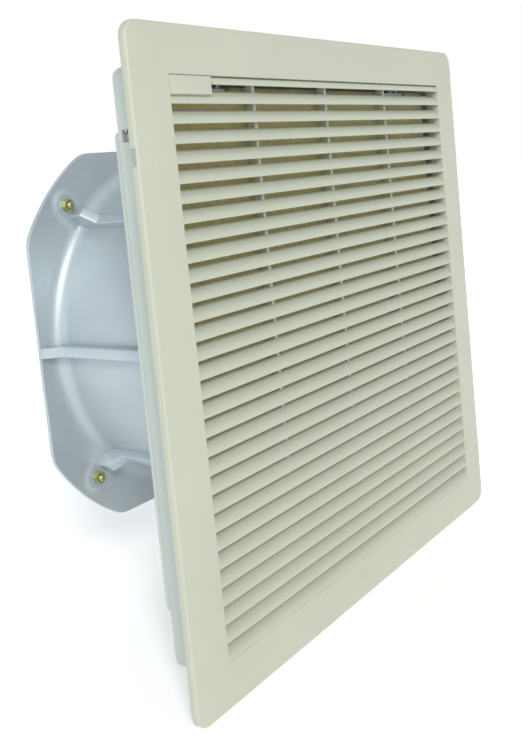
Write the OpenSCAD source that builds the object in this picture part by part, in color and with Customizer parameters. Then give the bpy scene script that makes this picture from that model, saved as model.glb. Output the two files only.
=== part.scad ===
// Enclosure filter fan, 323 mm class.
// X runs to the right seen from the front, Y runs back into the enclosure, Z runs up.
// The origin is the centre of the panel cut-out, in the plane of the panel's outer face.

/* [Front cover] */
// Side of the square cover, from which the cut-out, the body and the drum take their widths
cover_w = 323; // [300:1:350]
// How far the cover overlaps the panel cut-out, each side
cover_overlap = 15.5; // [14:0.1:17]
// Depth of the cover, from its front face to the back edge of its skirt
cover_depth = 5; // [4.8:0.1:6]
// Corner radius of the cover, seen from the front
cover_corner_r = 8; // [5:0.5:11]
// Width of the sloped band round the front face
band_w = 11.5; // [9:0.5:12]
// How far the sloped band falls back
band_drop = 0.8; // [0.3:0.1:1]
// Rounding from the band to the side of the cover
edge_r = 1.8; // [1:0.1:2]
// Thickness of the cover's front wall
cover_skin = 1.6; // [1.4:0.1:1.7]
// Thickness of the cover's skirt
skirt_wall = 2.2; // [1.6:0.1:2.4]
// Width of the pry notch in each side of the skirt
notch_w = 8; // [5:0.5:12]
// Height of the pry notch above the middle
notch_z = 102; // [60:1:125]

/* [Louvre grille] */
// Gap between the window's frame and the inside of the moulded body
window_gap = 3.1; // [2.5:0.1:5]
// Number of full louvre rows
louvre_rows = 30; // [24:1:30]
// Depth of a louvre blade, front to back
blade_depth = 9; // [7.5:0.1:9.4]
// Rise of a louvre blade from its lip to its back edge, as a share of the pitch
blade_rise_share = 0.704; // [0.6:0.01:0.75]
// Thickness of a louvre blade
blade_wall = 1.5; // [1.2:0.1:1.8]
// Visible height of the short top louvre
top_band = 3.3; // [2.6:0.1:3.6]
// Slit above the short top louvre
top_slit = 0.8; // [0.5:0.1:1]
// Number of tie ribs behind the blades
tie_ribs = 3; // [1:1:5]
// Thickness of a tie rib
tie_w = 2.2; // [1.6:0.1:3]
// Distance from the front face back to the tie ribs
tie_setback = 4.6; // [3.5:0.1:5.5]
// Width of the blank plate
plate_w = 29.6; // [24:0.2:36]
// Height of the blank plate
plate_h = 8.9; // [8:0.1:9.5]
// Thickness of the blank plate
plate_t = 1.8; // [1.4:0.1:2]

/* [Body in the cut-out] */
// Play of the body in the cut-out, each side
cutout_play = 1; // [0.5:0.1:1.5]
// Depth of the moulded body behind the panel's outer face
body_depth = 21.3; // [21:0.1:26]
// Wall of the moulded body
body_wall = 3; // [2.5:0.1:3.2]
// Back wall of the moulded body
back_wall = 2.4; // [2:0.1:3]
// Corner radius of the body, seen from the front
body_corner_r = 6; // [4:0.5:8]
// Rounding of the body's upper back edge
top_edge_r = 4; // [2:0.5:5]
// Gap between the frame's flange and the inside of the skirt
flange_gap = 3.8; // [3.6:0.1:5]
// Thickness of the frame's flange
flange_t = 2.2; // [1.8:0.1:2.2]
// Width of the gasket strip
gasket_w = 7; // [5:0.5:7]
// How far the gasket stands out behind the skirt
gasket_proud = 1.2; // [0.8:0.1:1.6]
// Bars of the mat support each way
grid_bars = 5; // [2:1:7]
// Width of a bar of the mat support
grid_bar_w = 2.6; // [2:0.1:4]
// Thickness of the filter mat
mat_t = 14; // [8:0.5:14]

/* [Fan plate] */
// Thickness of the fan plate
fan_plate_t = 2.5; // [2:0.1:4]
// How far the fan plate reaches beyond the drum, above and below
plate_margin = 16.5; // [15.5:0.5:20]

/* [Fan drum] */
// How far the drum stands in from each side of the body
drum_inset = 46.5; // [46.5:0.5:52]
// Wall of the drum and its flange
drum_wall = 2.4; // [2:0.1:3]
// Distance from the panel's outer face to the front of the drum's rear flange
drum_reach = 133.8; // [133:0.5:140]
// How far each side of the rear flange stands out from the drum
flange_out = 14; // [12.5:0.5:17]
// How far the flange bolts stand out from the drum
bolt_out = 18.2; // [18:0.1:20]
// Distance from a flange bolt to the flange's round-cut corner
bolt_edge = 12.8; // [11:0.1:14]
// Fillet between drum and rear flange
drum_fillet_r = 9; // [6:0.5:9]
// Width of the gusset columns
gusset_w = 6.5; // [5:0.5:8]
// How far a gusset column stands out from the drum
gusset_h = 12; // [11:0.5:12]
// How far the low rib in front of a gusset stands out from the drum
low_rib_h = 4.5; // [3:0.5:6]
// Length of the gusset column's straight head
gusset_head = 9.5; // [7:0.5:14]
// Height of the raised pad under each flange nut
pad_h = 1.6; // [1:0.1:2]
// Width of the pad's sloped side
pad_slope_w = 3; // [2.5:0.1:4]
// Height of the cable duct, seen from the side
duct_h = 6; // [5:0.5:9]
// How far the cable duct stands out from the drum
duct_out = 8; // [6:0.5:8.5]

/* [Impeller and motor] */
// Number of impeller blades
blade_count = 7; // [5:1:9]
// Gap between blade tips and drum
tip_gap = 2.1; // [1.5:0.1:4]
// Blade angle at the hub, from the plane of rotation
root_angle = 38; // [30:1:42]
// Blade angle at the tip
tip_angle = 25; // [20:1:30]
// Blade chord at the hub
root_chord = 50; // [40:1:54]
// Blade chord at the tip
tip_chord = 66; // [50:1:70]
// Outer diameter of the rotor can
rotor_d = 92; // [88:1:94]
// Length of the rotor can
rotor_l = 56; // [54:1:60]
// Diameter of the shaft
shaft_d = 8; // [6:0.5:8]

/* [Moving parts] */
// Distance of the retaining latches from the middle
latch_x = 95; // [70:1:105]
// Width of a retaining latch
latch_w = 18; // [12:1:22]
// Distance of the cover's hinges from the middle
hinge_x = 110; // [60:1:125]

/* [Hidden] */
$fn = 96;

// Clearances and the overrun that every cut shares
overrun = 1;
running_gap = 0.05;
seat_gap = 0.3;
side_gap = 0.4;

// Planes across the depth, measured from the panel's outer face
skirt_y = -gasket_proud;
front_y = skirt_y - cover_depth;
skin_y = front_y + cover_skin;
flange_front_y = skin_y + 0.5 * side_gap;
flange_back_y = flange_front_y + flange_t;
back_wall_y = body_depth - back_wall;
fan_plate_y = body_depth + fan_plate_t;
rear_flange_y = drum_reach + drum_wall;

// Widths that follow the cover
cutout_w = cover_w - 2 * cover_overlap;
body_w = cutout_w - 2 * cutout_play;
tub_w = body_w - 2 * body_wall;
flange_w = cover_w - 2 * (skirt_wall + flange_gap);
gasket_play = 0.5;
gasket_in_w = cutout_w + 2 * gasket_play;

// Louvre window, a little taller than wide
window_wall = 2;
window_up = 1.3;
window_down = 1.67;
window_w = tub_w - 2 * (window_gap + window_wall);
window_top = window_w / 2 + window_up;
window_bottom = -window_w / 2 - window_down;
first_lip_z = window_top - top_slit - top_band;
louvre_pitch = (first_lip_z - window_bottom) / louvre_rows;
blade_rise = blade_rise_share * louvre_pitch;
blade_steps = 7;
blade_back_y = front_y + blade_depth;
tie_y = front_y + tie_setback;

// Hinge of the cover, along its bottom edge
knuckle_r = 1.9;
hinge_inset = 2.6;
hinge_y = skirt_y - knuckle_r;
hinge_z = hinge_inset - cover_w / 2;
knuckle_l = 10;
ear_r = 1.5;
ear_l = 5;
hinge_pin_r = 0.75;
skirt_chamfer = 1;

// Retaining latches, in the top and bottom walls
latch_pivot_inset = 5.8;
latch_pivot_under = 0.8;
latch_pivot_y = body_depth - latch_pivot_inset;
latch_pivot_z = tub_w / 2 - latch_pivot_under;
latch_barrel_r = 2;
latch_pin_r = 0.9;
latch_ear_w = 3;
latch_ear_r = 2.3;
latch_play = 0.5;
latch_tip_y = 3.4;
latch_reach = 4.3;
latch_lip = 2.3;
latch_under = 1.5;
latch_lug_l = 3;
latch_lug_w = 2;
latch_window_y = 1;
pocket_floor_t = 2;
spring_l = 5.7;
spring_at = 6.5;
spring_r = 2.4;
spring_wire_r = 0.35;
spring_turns = 4;
peg_r = 1.5;
peg_h = 1.8;
pocket_floor_z = latch_pivot_z - latch_under - spring_l;
pocket_front_y = latch_pivot_y - spring_at - spring_r - spring_wire_r - seat_gap;

// Locking tongues of the fan plate and their windows in the side walls
tongue_h = 7;
tongue_wall = 2;
tongue_reach = 7.5;
tongue_top_cut = 2;
side_window_y = 4;
side_window_h = 5.6;
side_window_inset = 2;

// Screws
screw_r = 1.6;
screw_head_r = 3.2;
screw_head_h = 2;
screw_play = 0.2;
plate_screw_x = tub_w / 2 - screw_head_r + screw_play;
plate_screw_shares = [-0.87, -0.3, 0.3, 0.87];
boss_r = 2.7;
boss_l = 6;
drum_screw_ring_share = 1.06;
drum_screw_turn = 20;

// Drum and the plate that carries it
drum_d = body_w - 2 * drum_inset;
drum_r = drum_d / 2;
drum_in_r = drum_r - drum_wall;
fan_plate_h = drum_d + 2 * plate_margin;
side_window_z = fan_plate_h / 2 - side_window_inset;
rear_flange_w = drum_d + 2 * flange_out;
fillet_r_at = drum_r + drum_fillet_r;
fillet_y_at = drum_reach - drum_fillet_r;
front_ring_w = 10.5;
front_ring_r = drum_r + front_ring_w;
front_ring_y = fan_plate_y + drum_wall;
inlet_r = drum_in_r;
bolt_ring_r = drum_r + bolt_out;
rear_flange_cut_r = bolt_ring_r + bolt_edge;
pad_top_r = 7;
pad_start = 3.2;
pad_y = drum_reach - pad_h;
bolt_r = 2;
nut_af = 7;
nut_h = 3.2;
washer_r = 4.5;
washer_t = 0.8;
bolt_end = 1.8;
bolt_head_h = 2.8;
duct_wall = 0.8;
duct_bend_back = 3.3;
duct_bend_y = fillet_y_at - duct_bend_back;

// Motor bracket and guard
bracket_t = 2;
bracket_y = rear_flange_y + bracket_t;
bracket_hub_r = 52;
bracket_arm_w = 15;
guard_wire_r = 1.2;
guard_first_r = 58;
guard_count = 6;
guard_step = (drum_r - guard_wire_r / 2 - guard_first_r) / (guard_count - 1);

// Motor, counted forward from the bracket
motor_base_t = 5;
motor_base_y = rear_flange_y - motor_base_t;
motor_base_r = 44;
motor_screw_ring = 32;
rotor_r = rotor_d / 2;
rotor_wall = 2.5;
rotor_front_wall = 3;
rotor_gap = 3.2;
rotor_back_y = motor_base_y - rotor_gap;
rotor_front_y = rotor_back_y - rotor_l;
rotor_core_t = 3.4;
core_l = 36;
core_inset = 6;
core_y = rotor_back_y - core_inset - core_l;
air_gap = 0.6;
rotor_core_r = rotor_r - rotor_wall - running_gap;
stator_r = rotor_core_r - rotor_core_t - air_gap;
tube_r = 13;
bearing_r = 11;
bearing_w = 7;
shaft_r = shaft_d / 2;
tube_inset = 8;
tube_front_y = rotor_front_y + tube_inset;
bearing_inset = 0.6;
bearing_front_y = tube_front_y + bearing_inset;
bearing_back_y = rotor_back_y - tube_inset;
tube_shoulder_r = 9.5;
slot_count = 12;
slot_r = 2.9;
slot_ring_r = 26.5;
winding_over = 5.6;
winding_in_r = 19;
winding_out_r = 34;
hub_boss_r = 6;
ring_w = 1;
ring_r = 6;
groove_depth = 0.6;
groove_r = shaft_r - groove_depth;

// Impeller
impeller_band = 2.6;
band_front_inset = 5;
band_back_inset = 7;
impeller_band_y = rotor_front_y + band_front_inset;
impeller_band_l = rotor_l - band_front_inset - band_back_inset;
blade_mid_y = impeller_band_y + impeller_band_l / 2;
blade_tip_r = drum_in_r - tip_gap;
blade_root_r = rotor_r + running_gap + impeller_band / 2;
blade_t = 2;
blade_camber_share = 0.09;
blade_sweep = 16;
blade_stations = 8;
blade_points = 8;

// Terminal box on the back of the fan plate
box_w = 38;
box_h = 34;
box_d = 25;
box_gap = 0.6;
box_corner = (front_ring_r + box_gap) / sqrt(2);
box_x = -box_corner - box_w;
box_z = -box_corner - box_h;
box_wall = 2;
lug_r = 4;
lug_start_share = 0.65;
lid_t = 2;
lid_screw_r = 1.3;
gland_r = 8;
gland_bore_r = 4;
gland_l = 11;
gland_nut_l = 7;
gland_x = box_x + box_w / 2;
gland_y = fan_plate_y + box_d - gland_r - seat_gap;
block_w = 28;
block_h = 12;
block_d = 10;
capacitor_r = 6.5;
capacitor_l = 30;

// Colours
plastic_front = [0.79, 0.80, 0.73];
plastic_side = [0.78, 0.81, 0.79];
bare_metal = [0.66, 0.72, 0.76];
zinc_yellow = [0.72, 0.68, 0.34];
bright_steel = [0.75, 0.76, 0.78];
dark_plastic = [0.16, 0.17, 0.18];

// A plate or prism from a flat outline in X and Z, between two depths
module slab(y0, y1) {
    translate([0, y1, 0])
        rotate([90, 0, 0])
            linear_extrude(y1 - y0)
                children();
}

// A bar from an outline in Y and Z, between two places along X
module bar(x0, x1) {
    translate([x0, 0, 0])
        rotate([90, 0, 90])
            linear_extrude(x1 - x0)
                children();
}

// A turned form about the drum's axis, from an outline of radius and depth
module turned() {
    rotate([-90, 0, 0])
        rotate_extrude($fn = 180)
            children();
}

module rod_y(r, y0, y1, x = 0, z = 0) {
    translate([x, y0, z])
        rotate([-90, 0, 0])
            cylinder(h = y1 - y0, r = r);
}

module rod_x(r, x0, x1, y, z) {
    translate([x0, y, z])
        rotate([0, 90, 0])
            cylinder(h = x1 - x0, r = r);
}

module block(low, high) {
    translate(low)
        cube(high - low);
}

// A centred square with round corners
module round_square(w, r) {
    union() {
        square([w - 2 * r, w], center = true);
        square([w, w - 2 * r], center = true);
        for (sx = [-1, 1], sz = [-1, 1])
            translate([sx * (w / 2 - r), sz * (w / 2 - r)])
                circle(r);
    }
}

// A slot outline from the centre out along X, with round ends
module obround(from, to, r) {
    union() {
        translate([from, -r])
            square([to - from, 2 * r]);
        translate([from, 0])
            circle(r);
        translate([to, 0])
            circle(r);
    }
}

module on_four_corners() {
    for (turn = [45 : 90 : 315])
        rotate([0, turn, 0])
            children();
}

// Outline of one louvre blade in Y and Z, its lip at the origin.
// The front curve is y = depth * t^2, z = rise * t, and the back curve lies one wall behind it.
function blade_front(t) = [blade_depth * t * t, blade_rise * t];
function blade_normal(t) =
    let (n = [blade_rise, -2 * blade_depth * t])
    n / norm(n);
function blade_outline() = concat(
    [for (i = [0 : blade_steps]) blade_front(i / blade_steps)],
    [for (i = [blade_steps : -1 : 0]) blade_front(i / blade_steps) + blade_wall * blade_normal(i / blade_steps)]
);

module cover_outer() {
    thin = 0.01 * edge_r;
    hull() {
        slab(front_y, front_y + thin)
            round_square(cover_w - 2 * band_w, cover_corner_r / 2, $fn = 32);
        for (a = [0 : 30 : 90])
            slab(front_y + band_drop + edge_r * (1 - cos(a)), front_y + band_drop + edge_r * (1 - cos(a)) + thin)
                round_square(cover_w - 2 * edge_r * (1 - sin(a)), cover_corner_r, $fn = 32);
        slab(skirt_y - thin, skirt_y)
            round_square(cover_w, cover_corner_r, $fn = 32);
    }
}

module louvres() {
    half = window_w / 2 + window_wall / 2;
    intersection() {
        union() {
            for (row = [0 : louvre_rows])
                bar(-half, half)
                    translate([front_y, first_lip_z - row * louvre_pitch])
                        polygon(blade_outline());
            for (i = [1 : tie_ribs])
                translate([-window_w / 2 + i * window_w / (tie_ribs + 1), 0, 0])
                    block([-tie_w / 2, tie_y, window_bottom], [tie_w / 2, blade_back_y, window_top]);
        }
        block(
            [-half, front_y, window_bottom - window_wall / 2],
            [half, blade_back_y + blade_wall, first_lip_z + top_band]
        );
    }
}

module window_frame() {
    difference() {
        block(
            [-window_w / 2 - window_wall, skin_y - cover_skin / 2, window_bottom - window_wall],
            [window_w / 2 + window_wall, blade_back_y, window_top + window_wall]
        );
        block(
            [-window_w / 2, skin_y - cover_skin, window_bottom],
            [window_w / 2, blade_back_y + overrun, window_top]
        );
    }
}

module hinge_pockets() {
    half = ear_l / 2 + side_gap;
    r = ear_r + seat_gap;
    for (side = [-1, 1], end = [-1, 1])
        translate([side * hinge_x + end * (knuckle_l / 2 + half), 0, 0]) {
            rod_x(r, -half, half, hinge_y, hinge_z);
            block([-half, hinge_y - r, hinge_z], [half, overrun, hinge_z + r]);
            block([-half, hinge_y, hinge_z - r], [half, overrun, hinge_z + r]);
        }
}

module front_cover() {
    color(plastic_front)
        difference() {
            union() {
                difference() {
                    cover_outer();
                    slab(skin_y, overrun)
                        round_square(cover_w - 2 * skirt_wall, cover_corner_r - skirt_wall);
                    block(
                        [-window_w / 2, front_y - overrun, window_bottom],
                        [window_w / 2, overrun, window_top]
                    );
                }
                window_frame();
                louvres();
                block(
                    [-window_w / 2 - window_wall / 2, front_y + plate_t + running_gap, window_top - plate_h - side_gap],
                    [-window_w / 2 + plate_w + side_gap, tie_y, window_top + window_wall / 2]
                );
                for (side = [-1, 1])
                    rod_x(
                        knuckle_r,
                        side * hinge_x - knuckle_l / 2,
                        side * hinge_x + knuckle_l / 2,
                        hinge_y,
                        hinge_z
                    );
            }
            block(
                [-window_w / 2, front_y - overrun, window_top - plate_h - side_gap],
                [-window_w / 2 + plate_w + side_gap, front_y + plate_t + running_gap, window_top]
            );
            for (side = [-1, 1]) {
                translate([side * (cover_w / 2 - skirt_wall / 2), 0, notch_z])
                    block(
                        [-skirt_wall, skin_y + seat_gap, -notch_w / 2],
                        [skirt_wall, overrun, notch_w / 2]
                    );
                rod_x(
                    hinge_pin_r + running_gap,
                    side * hinge_x - knuckle_l,
                    side * hinge_x + knuckle_l,
                    hinge_y,
                    hinge_z
                );
            }
            hinge_pockets();
            translate([0, skirt_y, -cover_w / 2])
                rotate([45, 0, 0])
                    cube([cover_w, sqrt(2) * skirt_chamfer, sqrt(2) * skirt_chamfer], center = true);
        }
}

module blank_plate() {
    gap = side_gap / 2;
    color(plastic_front)
        block(
            [-window_w / 2 + gap, front_y, window_top - plate_h],
            [-window_w / 2 + plate_w, front_y + plate_t, window_top - gap]
        );
}

module hinge_pins() {
    half = knuckle_l / 2 + side_gap + ear_l;
    color(bright_steel)
        for (side = [-1, 1])
            rod_x(hinge_pin_r, side * hinge_x - half, side * hinge_x + half, hinge_y, hinge_z);
}

// Side outline of the moulded body in Y and Z, with the upper back edge rounded
module body_profile() {
    union() {
        translate([flange_front_y, -body_w / 2])
            square([body_depth - flange_front_y, body_w - top_edge_r]);
        translate([flange_front_y, -body_w / 2])
            square([body_depth - top_edge_r - flange_front_y, body_w]);
        translate([body_depth - top_edge_r, body_w / 2 - top_edge_r])
            circle(top_edge_r);
    }
}

module latch_windows() {
    half = latch_w / 2 + latch_play;
    at_latches()
        translate([0, 0, body_w / 2 - body_wall / 2])
            block(
                [-half, latch_window_y, -body_wall],
                [half, latch_pivot_y + latch_barrel_r + latch_play, body_wall]
            );
}

// Ears, floor and spring peg of the pocket that holds each latch
module latch_pockets() {
    inner = latch_w / 2 + latch_play + side_gap;
    outer = inner + latch_ear_w;
    back_y = latch_pivot_y + latch_ear_r;
    low_z = pocket_floor_z - pocket_floor_t;
    at_latches() {
        for (end = [0, 1])
            mirror([end, 0, 0])
                block(
                    [inner, latch_pivot_y - spring_at, low_z],
                    [outer, back_y, tub_w / 2 + body_wall / 2]
                );
        block([-outer, pocket_front_y, low_z], [outer, back_y, pocket_floor_z]);
        translate([0, latch_pivot_y - spring_at, pocket_floor_z - pocket_floor_t / 2])
            cylinder(h = pocket_floor_t / 2 + peg_h, r = peg_r);
    }
}

// The four latch places, each with its own wall turned to the top
module at_latches() {
    for (sx = [-1, 1], flip = [0, 1])
        mirror([0, 0, flip])
            translate([sx * latch_x, 0, 0])
                children();
}

module plate_screw_places() {
    for (sx = [-1, 1], share = plate_screw_shares)
        translate([sx * plate_screw_x, 0, share * fan_plate_h / 2])
            children();
}

module drum_screw_places() {
    for (turn = [0 : 90 : 270])
        rotate([0, turn + drum_screw_turn, 0])
            translate([drum_screw_ring_share * drum_r, 0, 0])
                children();
}

module base_frame() {
    grid_step = 2 * inlet_r / (grid_bars + 1);
    color(plastic_side)
        difference() {
            union() {
                difference() {
                    intersection() {
                        bar(-body_w / 2, body_w / 2)
                            body_profile();
                        slab(flange_front_y, body_depth)
                            round_square(body_w, body_corner_r);
                    }
                    slab(flange_front_y - overrun, back_wall_y)
                        round_square(tub_w, body_corner_r - body_wall / 2);
                    rod_y(inlet_r, back_wall_y - overrun, body_depth + overrun, $fn = 180);
                }
                slab(flange_front_y, flange_back_y)
                    difference() {
                        round_square(flange_w, body_corner_r);
                        round_square(tub_w, body_corner_r - body_wall / 2);
                    }
                for (i = [1 : grid_bars]) {
                    at = -inlet_r + i * grid_step;
                    chord = sqrt(inlet_r * inlet_r - at * at) + grid_bar_w / 2;
                    block([at - grid_bar_w / 2, back_wall_y, -chord], [at + grid_bar_w / 2, body_depth, chord]);
                    block([-chord, back_wall_y, at - grid_bar_w / 2], [chord, body_depth, at + grid_bar_w / 2]);
                }
                plate_screw_places()
                    rod_y(boss_r, back_wall_y - boss_l, body_depth - back_wall / 2);
                latch_pockets();
                for (side = [-1, 1], end = [-1, 1])
                    translate([side * hinge_x + end * (knuckle_l / 2 + side_gap + ear_l / 2), 0, 0]) {
                        rod_x(ear_r, -ear_l / 2, ear_l / 2, hinge_y, hinge_z);
                        block(
                            [-ear_l / 2, flange_front_y, hinge_z],
                            [ear_l / 2, flange_back_y, -flange_w / 2 + overrun]
                        );
                    }
            }
            latch_windows();
            for (side = [-1, 1])
                translate([side * (body_w / 2 - body_wall / 2), back_wall_y - side_window_y, side_window_z])
                    block([-body_wall, 0, -side_window_h / 2], [body_wall, side_window_y, side_window_h / 2]);
            plate_screw_places()
                rod_y(screw_r + running_gap, back_wall_y - boss_l - overrun, body_depth + overrun, $fn = 32);
            drum_screw_places()
                rod_y(screw_r + running_gap, back_wall_y - overrun, body_depth + overrun, $fn = 32);
            for (sx = [-1, 1], sz = [-1, 1])
                rod_x(
                    latch_pin_r + running_gap,
                    sx * latch_x - latch_w,
                    sx * latch_x + latch_w,
                    latch_pivot_y,
                    sz * latch_pivot_z
                );
            for (side = [-1, 1])
                rod_x(
                    hinge_pin_r + running_gap,
                    side * hinge_x - knuckle_l - ear_l,
                    side * hinge_x + knuckle_l + ear_l,
                    hinge_y,
                    hinge_z
                );
            // the tongues of the fan plate pass through the back wall
            for (side = [-1, 1])
                translate([side * (tub_w / 2 - tongue_wall / 2), back_wall_y - overrun, side_window_z])
                    block(
                        [-tongue_wall / 2 - seat_gap, 0, -tongue_h / 2 - seat_gap],
                        [tongue_wall / 2 + seat_gap, back_wall + 2 * overrun, tongue_h / 2 + seat_gap]
                    );
        }
}

module panel_gasket() {
    color(dark_plastic)
        slab(flange_back_y, 0)
            difference() {
                round_square(gasket_in_w + 2 * gasket_w, body_corner_r + gasket_w / 2);
                round_square(gasket_in_w, body_corner_r);
            }
}

module filter_mat() {
    half_x = tub_w / 2 - body_corner_r;
    half_z = pocket_floor_z - pocket_floor_t - seat_gap;
    back_y = back_wall_y - seat_gap;
    color([0.93, 0.93, 0.9])
        block([-half_x, back_y - mat_t, -half_z], [half_x, back_y, half_z]);
}

// Side outline of the fan plate in Y and Z, its back edges rounded over the plate's whole thickness
module fan_plate_profile() {
    half = fan_plate_h / 2;
    union() {
        translate([body_depth, -half + fan_plate_t])
            square([fan_plate_t, 2 * (half - fan_plate_t)]);
        intersection() {
            union() {
                for (end = [-1, 1])
                    translate([body_depth, end * (half - fan_plate_t)])
                        circle(fan_plate_t);
            }
            translate([body_depth, -half])
                square([fan_plate_t, 2 * half]);
        }
    }
}

module fan_plate() {
    color(plastic_side)
        difference() {
            union() {
                bar(-body_w / 2, body_w / 2)
                    fan_plate_profile();
                for (side = [-1, 1])
                    translate([side * (tub_w / 2 - tongue_wall / 2), 0, side_window_z])
                        block(
                            [-tongue_wall / 2, body_depth - tongue_reach, -tongue_h / 2],
                            [tongue_wall / 2, fan_plate_y - fan_plate_t / 2, tongue_h / 2 - tongue_top_cut]
                        );
            }
            rod_y(inlet_r, body_depth - overrun, fan_plate_y + overrun, $fn = 180);
            plate_screw_places()
                rod_y(screw_r + screw_play, body_depth - overrun, fan_plate_y + overrun, $fn = 32);
            drum_screw_places()
                rod_y(screw_r + screw_play, body_depth - overrun, fan_plate_y + overrun, $fn = 32);
        }
}

module pan_screw(seat_y, grip, shank_r = screw_r, head_r = screw_head_r, head_h = screw_head_h) {
    union() {
        rod_y(shank_r, seat_y - grip, seat_y + head_h / 2, $fn = 32);
        difference() {
            rod_y(head_r, seat_y, seat_y + head_h, $fn = 32);
            for (turn = [0, 90])
                translate([0, seat_y + head_h, 0])
                    rotate([0, turn, 0])
                        cube([head_r, head_h, head_r / 4], center = true);
        }
    }
}

module fan_plate_screws() {
    color(bright_steel)
        plate_screw_places()
            pan_screw(fan_plate_y, fan_plate_t + back_wall + boss_l - overrun);
}

module drum_screws() {
    color(bright_steel)
        drum_screw_places()
            pan_screw(front_ring_y, drum_wall + fan_plate_t + back_wall);
}

// Flat ring round the drum's front edge, screwed to the fan plate
module drum_front_ring() {
    color(bare_metal)
        difference() {
            turned()
                translate([drum_r + running_gap, fan_plate_y])
                    square([front_ring_w - running_gap, drum_wall]);
            drum_screw_places()
                rod_y(screw_r + screw_play, fan_plate_y - overrun, front_ring_y + overrun, $fn = 32);
        }
}

// Section of the drum: barrel, drawn fillet and the root of the rear flange
module drum_section() {
    union() {
        translate([drum_in_r, fan_plate_y])
            square([drum_wall, fillet_y_at - fan_plate_y]);
        difference() {
            intersection() {
                translate([fillet_r_at, fillet_y_at])
                    circle(drum_fillet_r + drum_wall, $fn = 180);
                translate([drum_in_r, fillet_y_at])
                    square([drum_fillet_r + drum_wall, drum_fillet_r + drum_wall]);
            }
            translate([fillet_r_at, fillet_y_at])
                circle(drum_fillet_r, $fn = 180);
        }
        translate([fillet_r_at, drum_reach])
            square([overrun, drum_wall]);
    }
}

// Everything the drum fills, grown by a clearance, for cutting what lies against it
module drum_envelope(grow) {
    turned()
        union() {
            square([drum_r + grow, drum_reach]);
            translate([0, drum_reach - grow])
                square([rear_flange_w, drum_wall + 2 * grow]);
            difference() {
                translate([0, fillet_y_at])
                    square([fillet_r_at, drum_fillet_r]);
                translate([fillet_r_at, fillet_y_at])
                    circle(drum_fillet_r - grow, $fn = 180);
            }
        }
}

// Outline of a gusset column and its low rib, in radius and depth
module gusset_profile() {
    root = drum_r - drum_wall / 2;
    low = drum_r + low_rib_h;
    high = drum_r + gusset_h;
    head_y = drum_reach - gusset_head;
    polygon([
        [root, front_ring_y + running_gap],
        [low, front_ring_y + running_gap],
        [low, head_y - (high - low)],
        [high, head_y],
        [high, drum_reach + drum_wall / 2],
        [root, drum_reach]
    ]);
}

// Raised pad with sloped sides: a cone round the bolt and a bar from there into the fillet
module bolt_pad() {
    root_y = drum_reach + drum_wall / 5;
    root_r = pad_top_r + pad_slope_w * (root_y - pad_y) / pad_h;
    translate([bolt_ring_r, pad_y, 0])
        rotate([-90, 0, 0])
            cylinder(h = root_y - pad_y, r1 = pad_top_r, r2 = root_r);
    bar(drum_r + pad_start, bolt_ring_r)
        polygon([[pad_y, -pad_top_r], [pad_y, pad_top_r], [root_y, root_r], [root_y, -root_r]]);
}

module fan_drum() {
    color(bare_metal)
        difference() {
            union() {
                turned()
                    drum_section();
                slab(drum_reach, rear_flange_y)
                    difference() {
                        intersection() {
                            square(rear_flange_w, center = true);
                            circle(rear_flange_cut_r, $fn = 180);
                        }
                        circle(fillet_r_at + overrun / 2, $fn = 180);
                    }
                on_four_corners() {
                    difference() {
                        translate([0, 0, -gusset_w / 2])
                            linear_extrude(gusset_w)
                                gusset_profile();
                        rod_y(drum_r - drum_wall / 2, 0, rear_flange_y, $fn = 180);
                    }
                    bolt_pad();
                }
            }
            on_four_corners()
                rod_y(bolt_r + screw_play, pad_y - overrun, rear_flange_y + overrun, bolt_ring_r);
        }
}

// Outline of the cable duct in X and Y, set in by a wall thickness for its hollow
module duct_outline(inset) {
    out = drum_r + duct_out - inset;
    edge = rear_flange_w / 2 + running_gap + duct_wall - inset;
    polygon([
        [-drum_r + overrun, front_ring_y + running_gap - 2 * inset],
        [-out, front_ring_y + running_gap - 2 * inset],
        [-out, duct_bend_y],
        [-edge, duct_bend_y + (edge - out) + drum_wall],
        [-edge, inset > 0 ? drum_reach : rear_flange_y],
        [-edge + duct_wall, inset > 0 ? drum_reach : rear_flange_y],
        [-edge + duct_wall, drum_reach],
        [-drum_r + overrun, drum_reach]
    ]);
}

module cable_duct() {
    color(bare_metal)
        difference() {
            translate([0, 0, -duct_h / 2])
                linear_extrude(duct_h)
                    duct_outline(0);
            translate([0, 0, -duct_h / 2 + duct_wall])
                linear_extrude(duct_h - 2 * duct_wall)
                    duct_outline(duct_wall);
            drum_envelope(running_gap);
        }
}

module flange_nuts() {
    color(zinc_yellow)
        on_four_corners()
            translate([bolt_ring_r, 0, 0])
                difference() {
                    rod_y(nut_af / sqrt(3), pad_y - nut_h, pad_y, $fn = 6);
                    rod_y(bolt_r + running_gap, pad_y - nut_h - overrun, pad_y + overrun);
                }
}

module flange_bolts() {
    color(zinc_yellow)
        on_four_corners()
            translate([bolt_ring_r, 0, 0])
                union() {
                    rod_y(bolt_r, pad_y - nut_h - bolt_end, bracket_y + bolt_r);
                    rod_y(nut_af / sqrt(3), bracket_y, bracket_y + bolt_head_h, $fn = 6);
                    rod_y(washer_r, bracket_y, bracket_y + washer_t);
                }
}

module motor_bracket() {
    color(bright_steel)
        difference() {
            slab(rear_flange_y, bracket_y)
                union() {
                    circle(bracket_hub_r, $fn = 180);
                    for (turn = [45, 135])
                        rotate(turn)
                            obround(-bolt_ring_r, bolt_ring_r, bracket_arm_w / 2);
                }
            on_four_corners() {
                rod_y(bolt_r + screw_play, rear_flange_y - overrun, bracket_y + overrun, bolt_ring_r);
                rod_y(screw_r + screw_play, rear_flange_y - overrun, bracket_y + overrun, motor_screw_ring, $fn = 32);
            }
            rod_y(bearing_r, rear_flange_y - overrun, bracket_y + overrun);
        }
}

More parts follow.
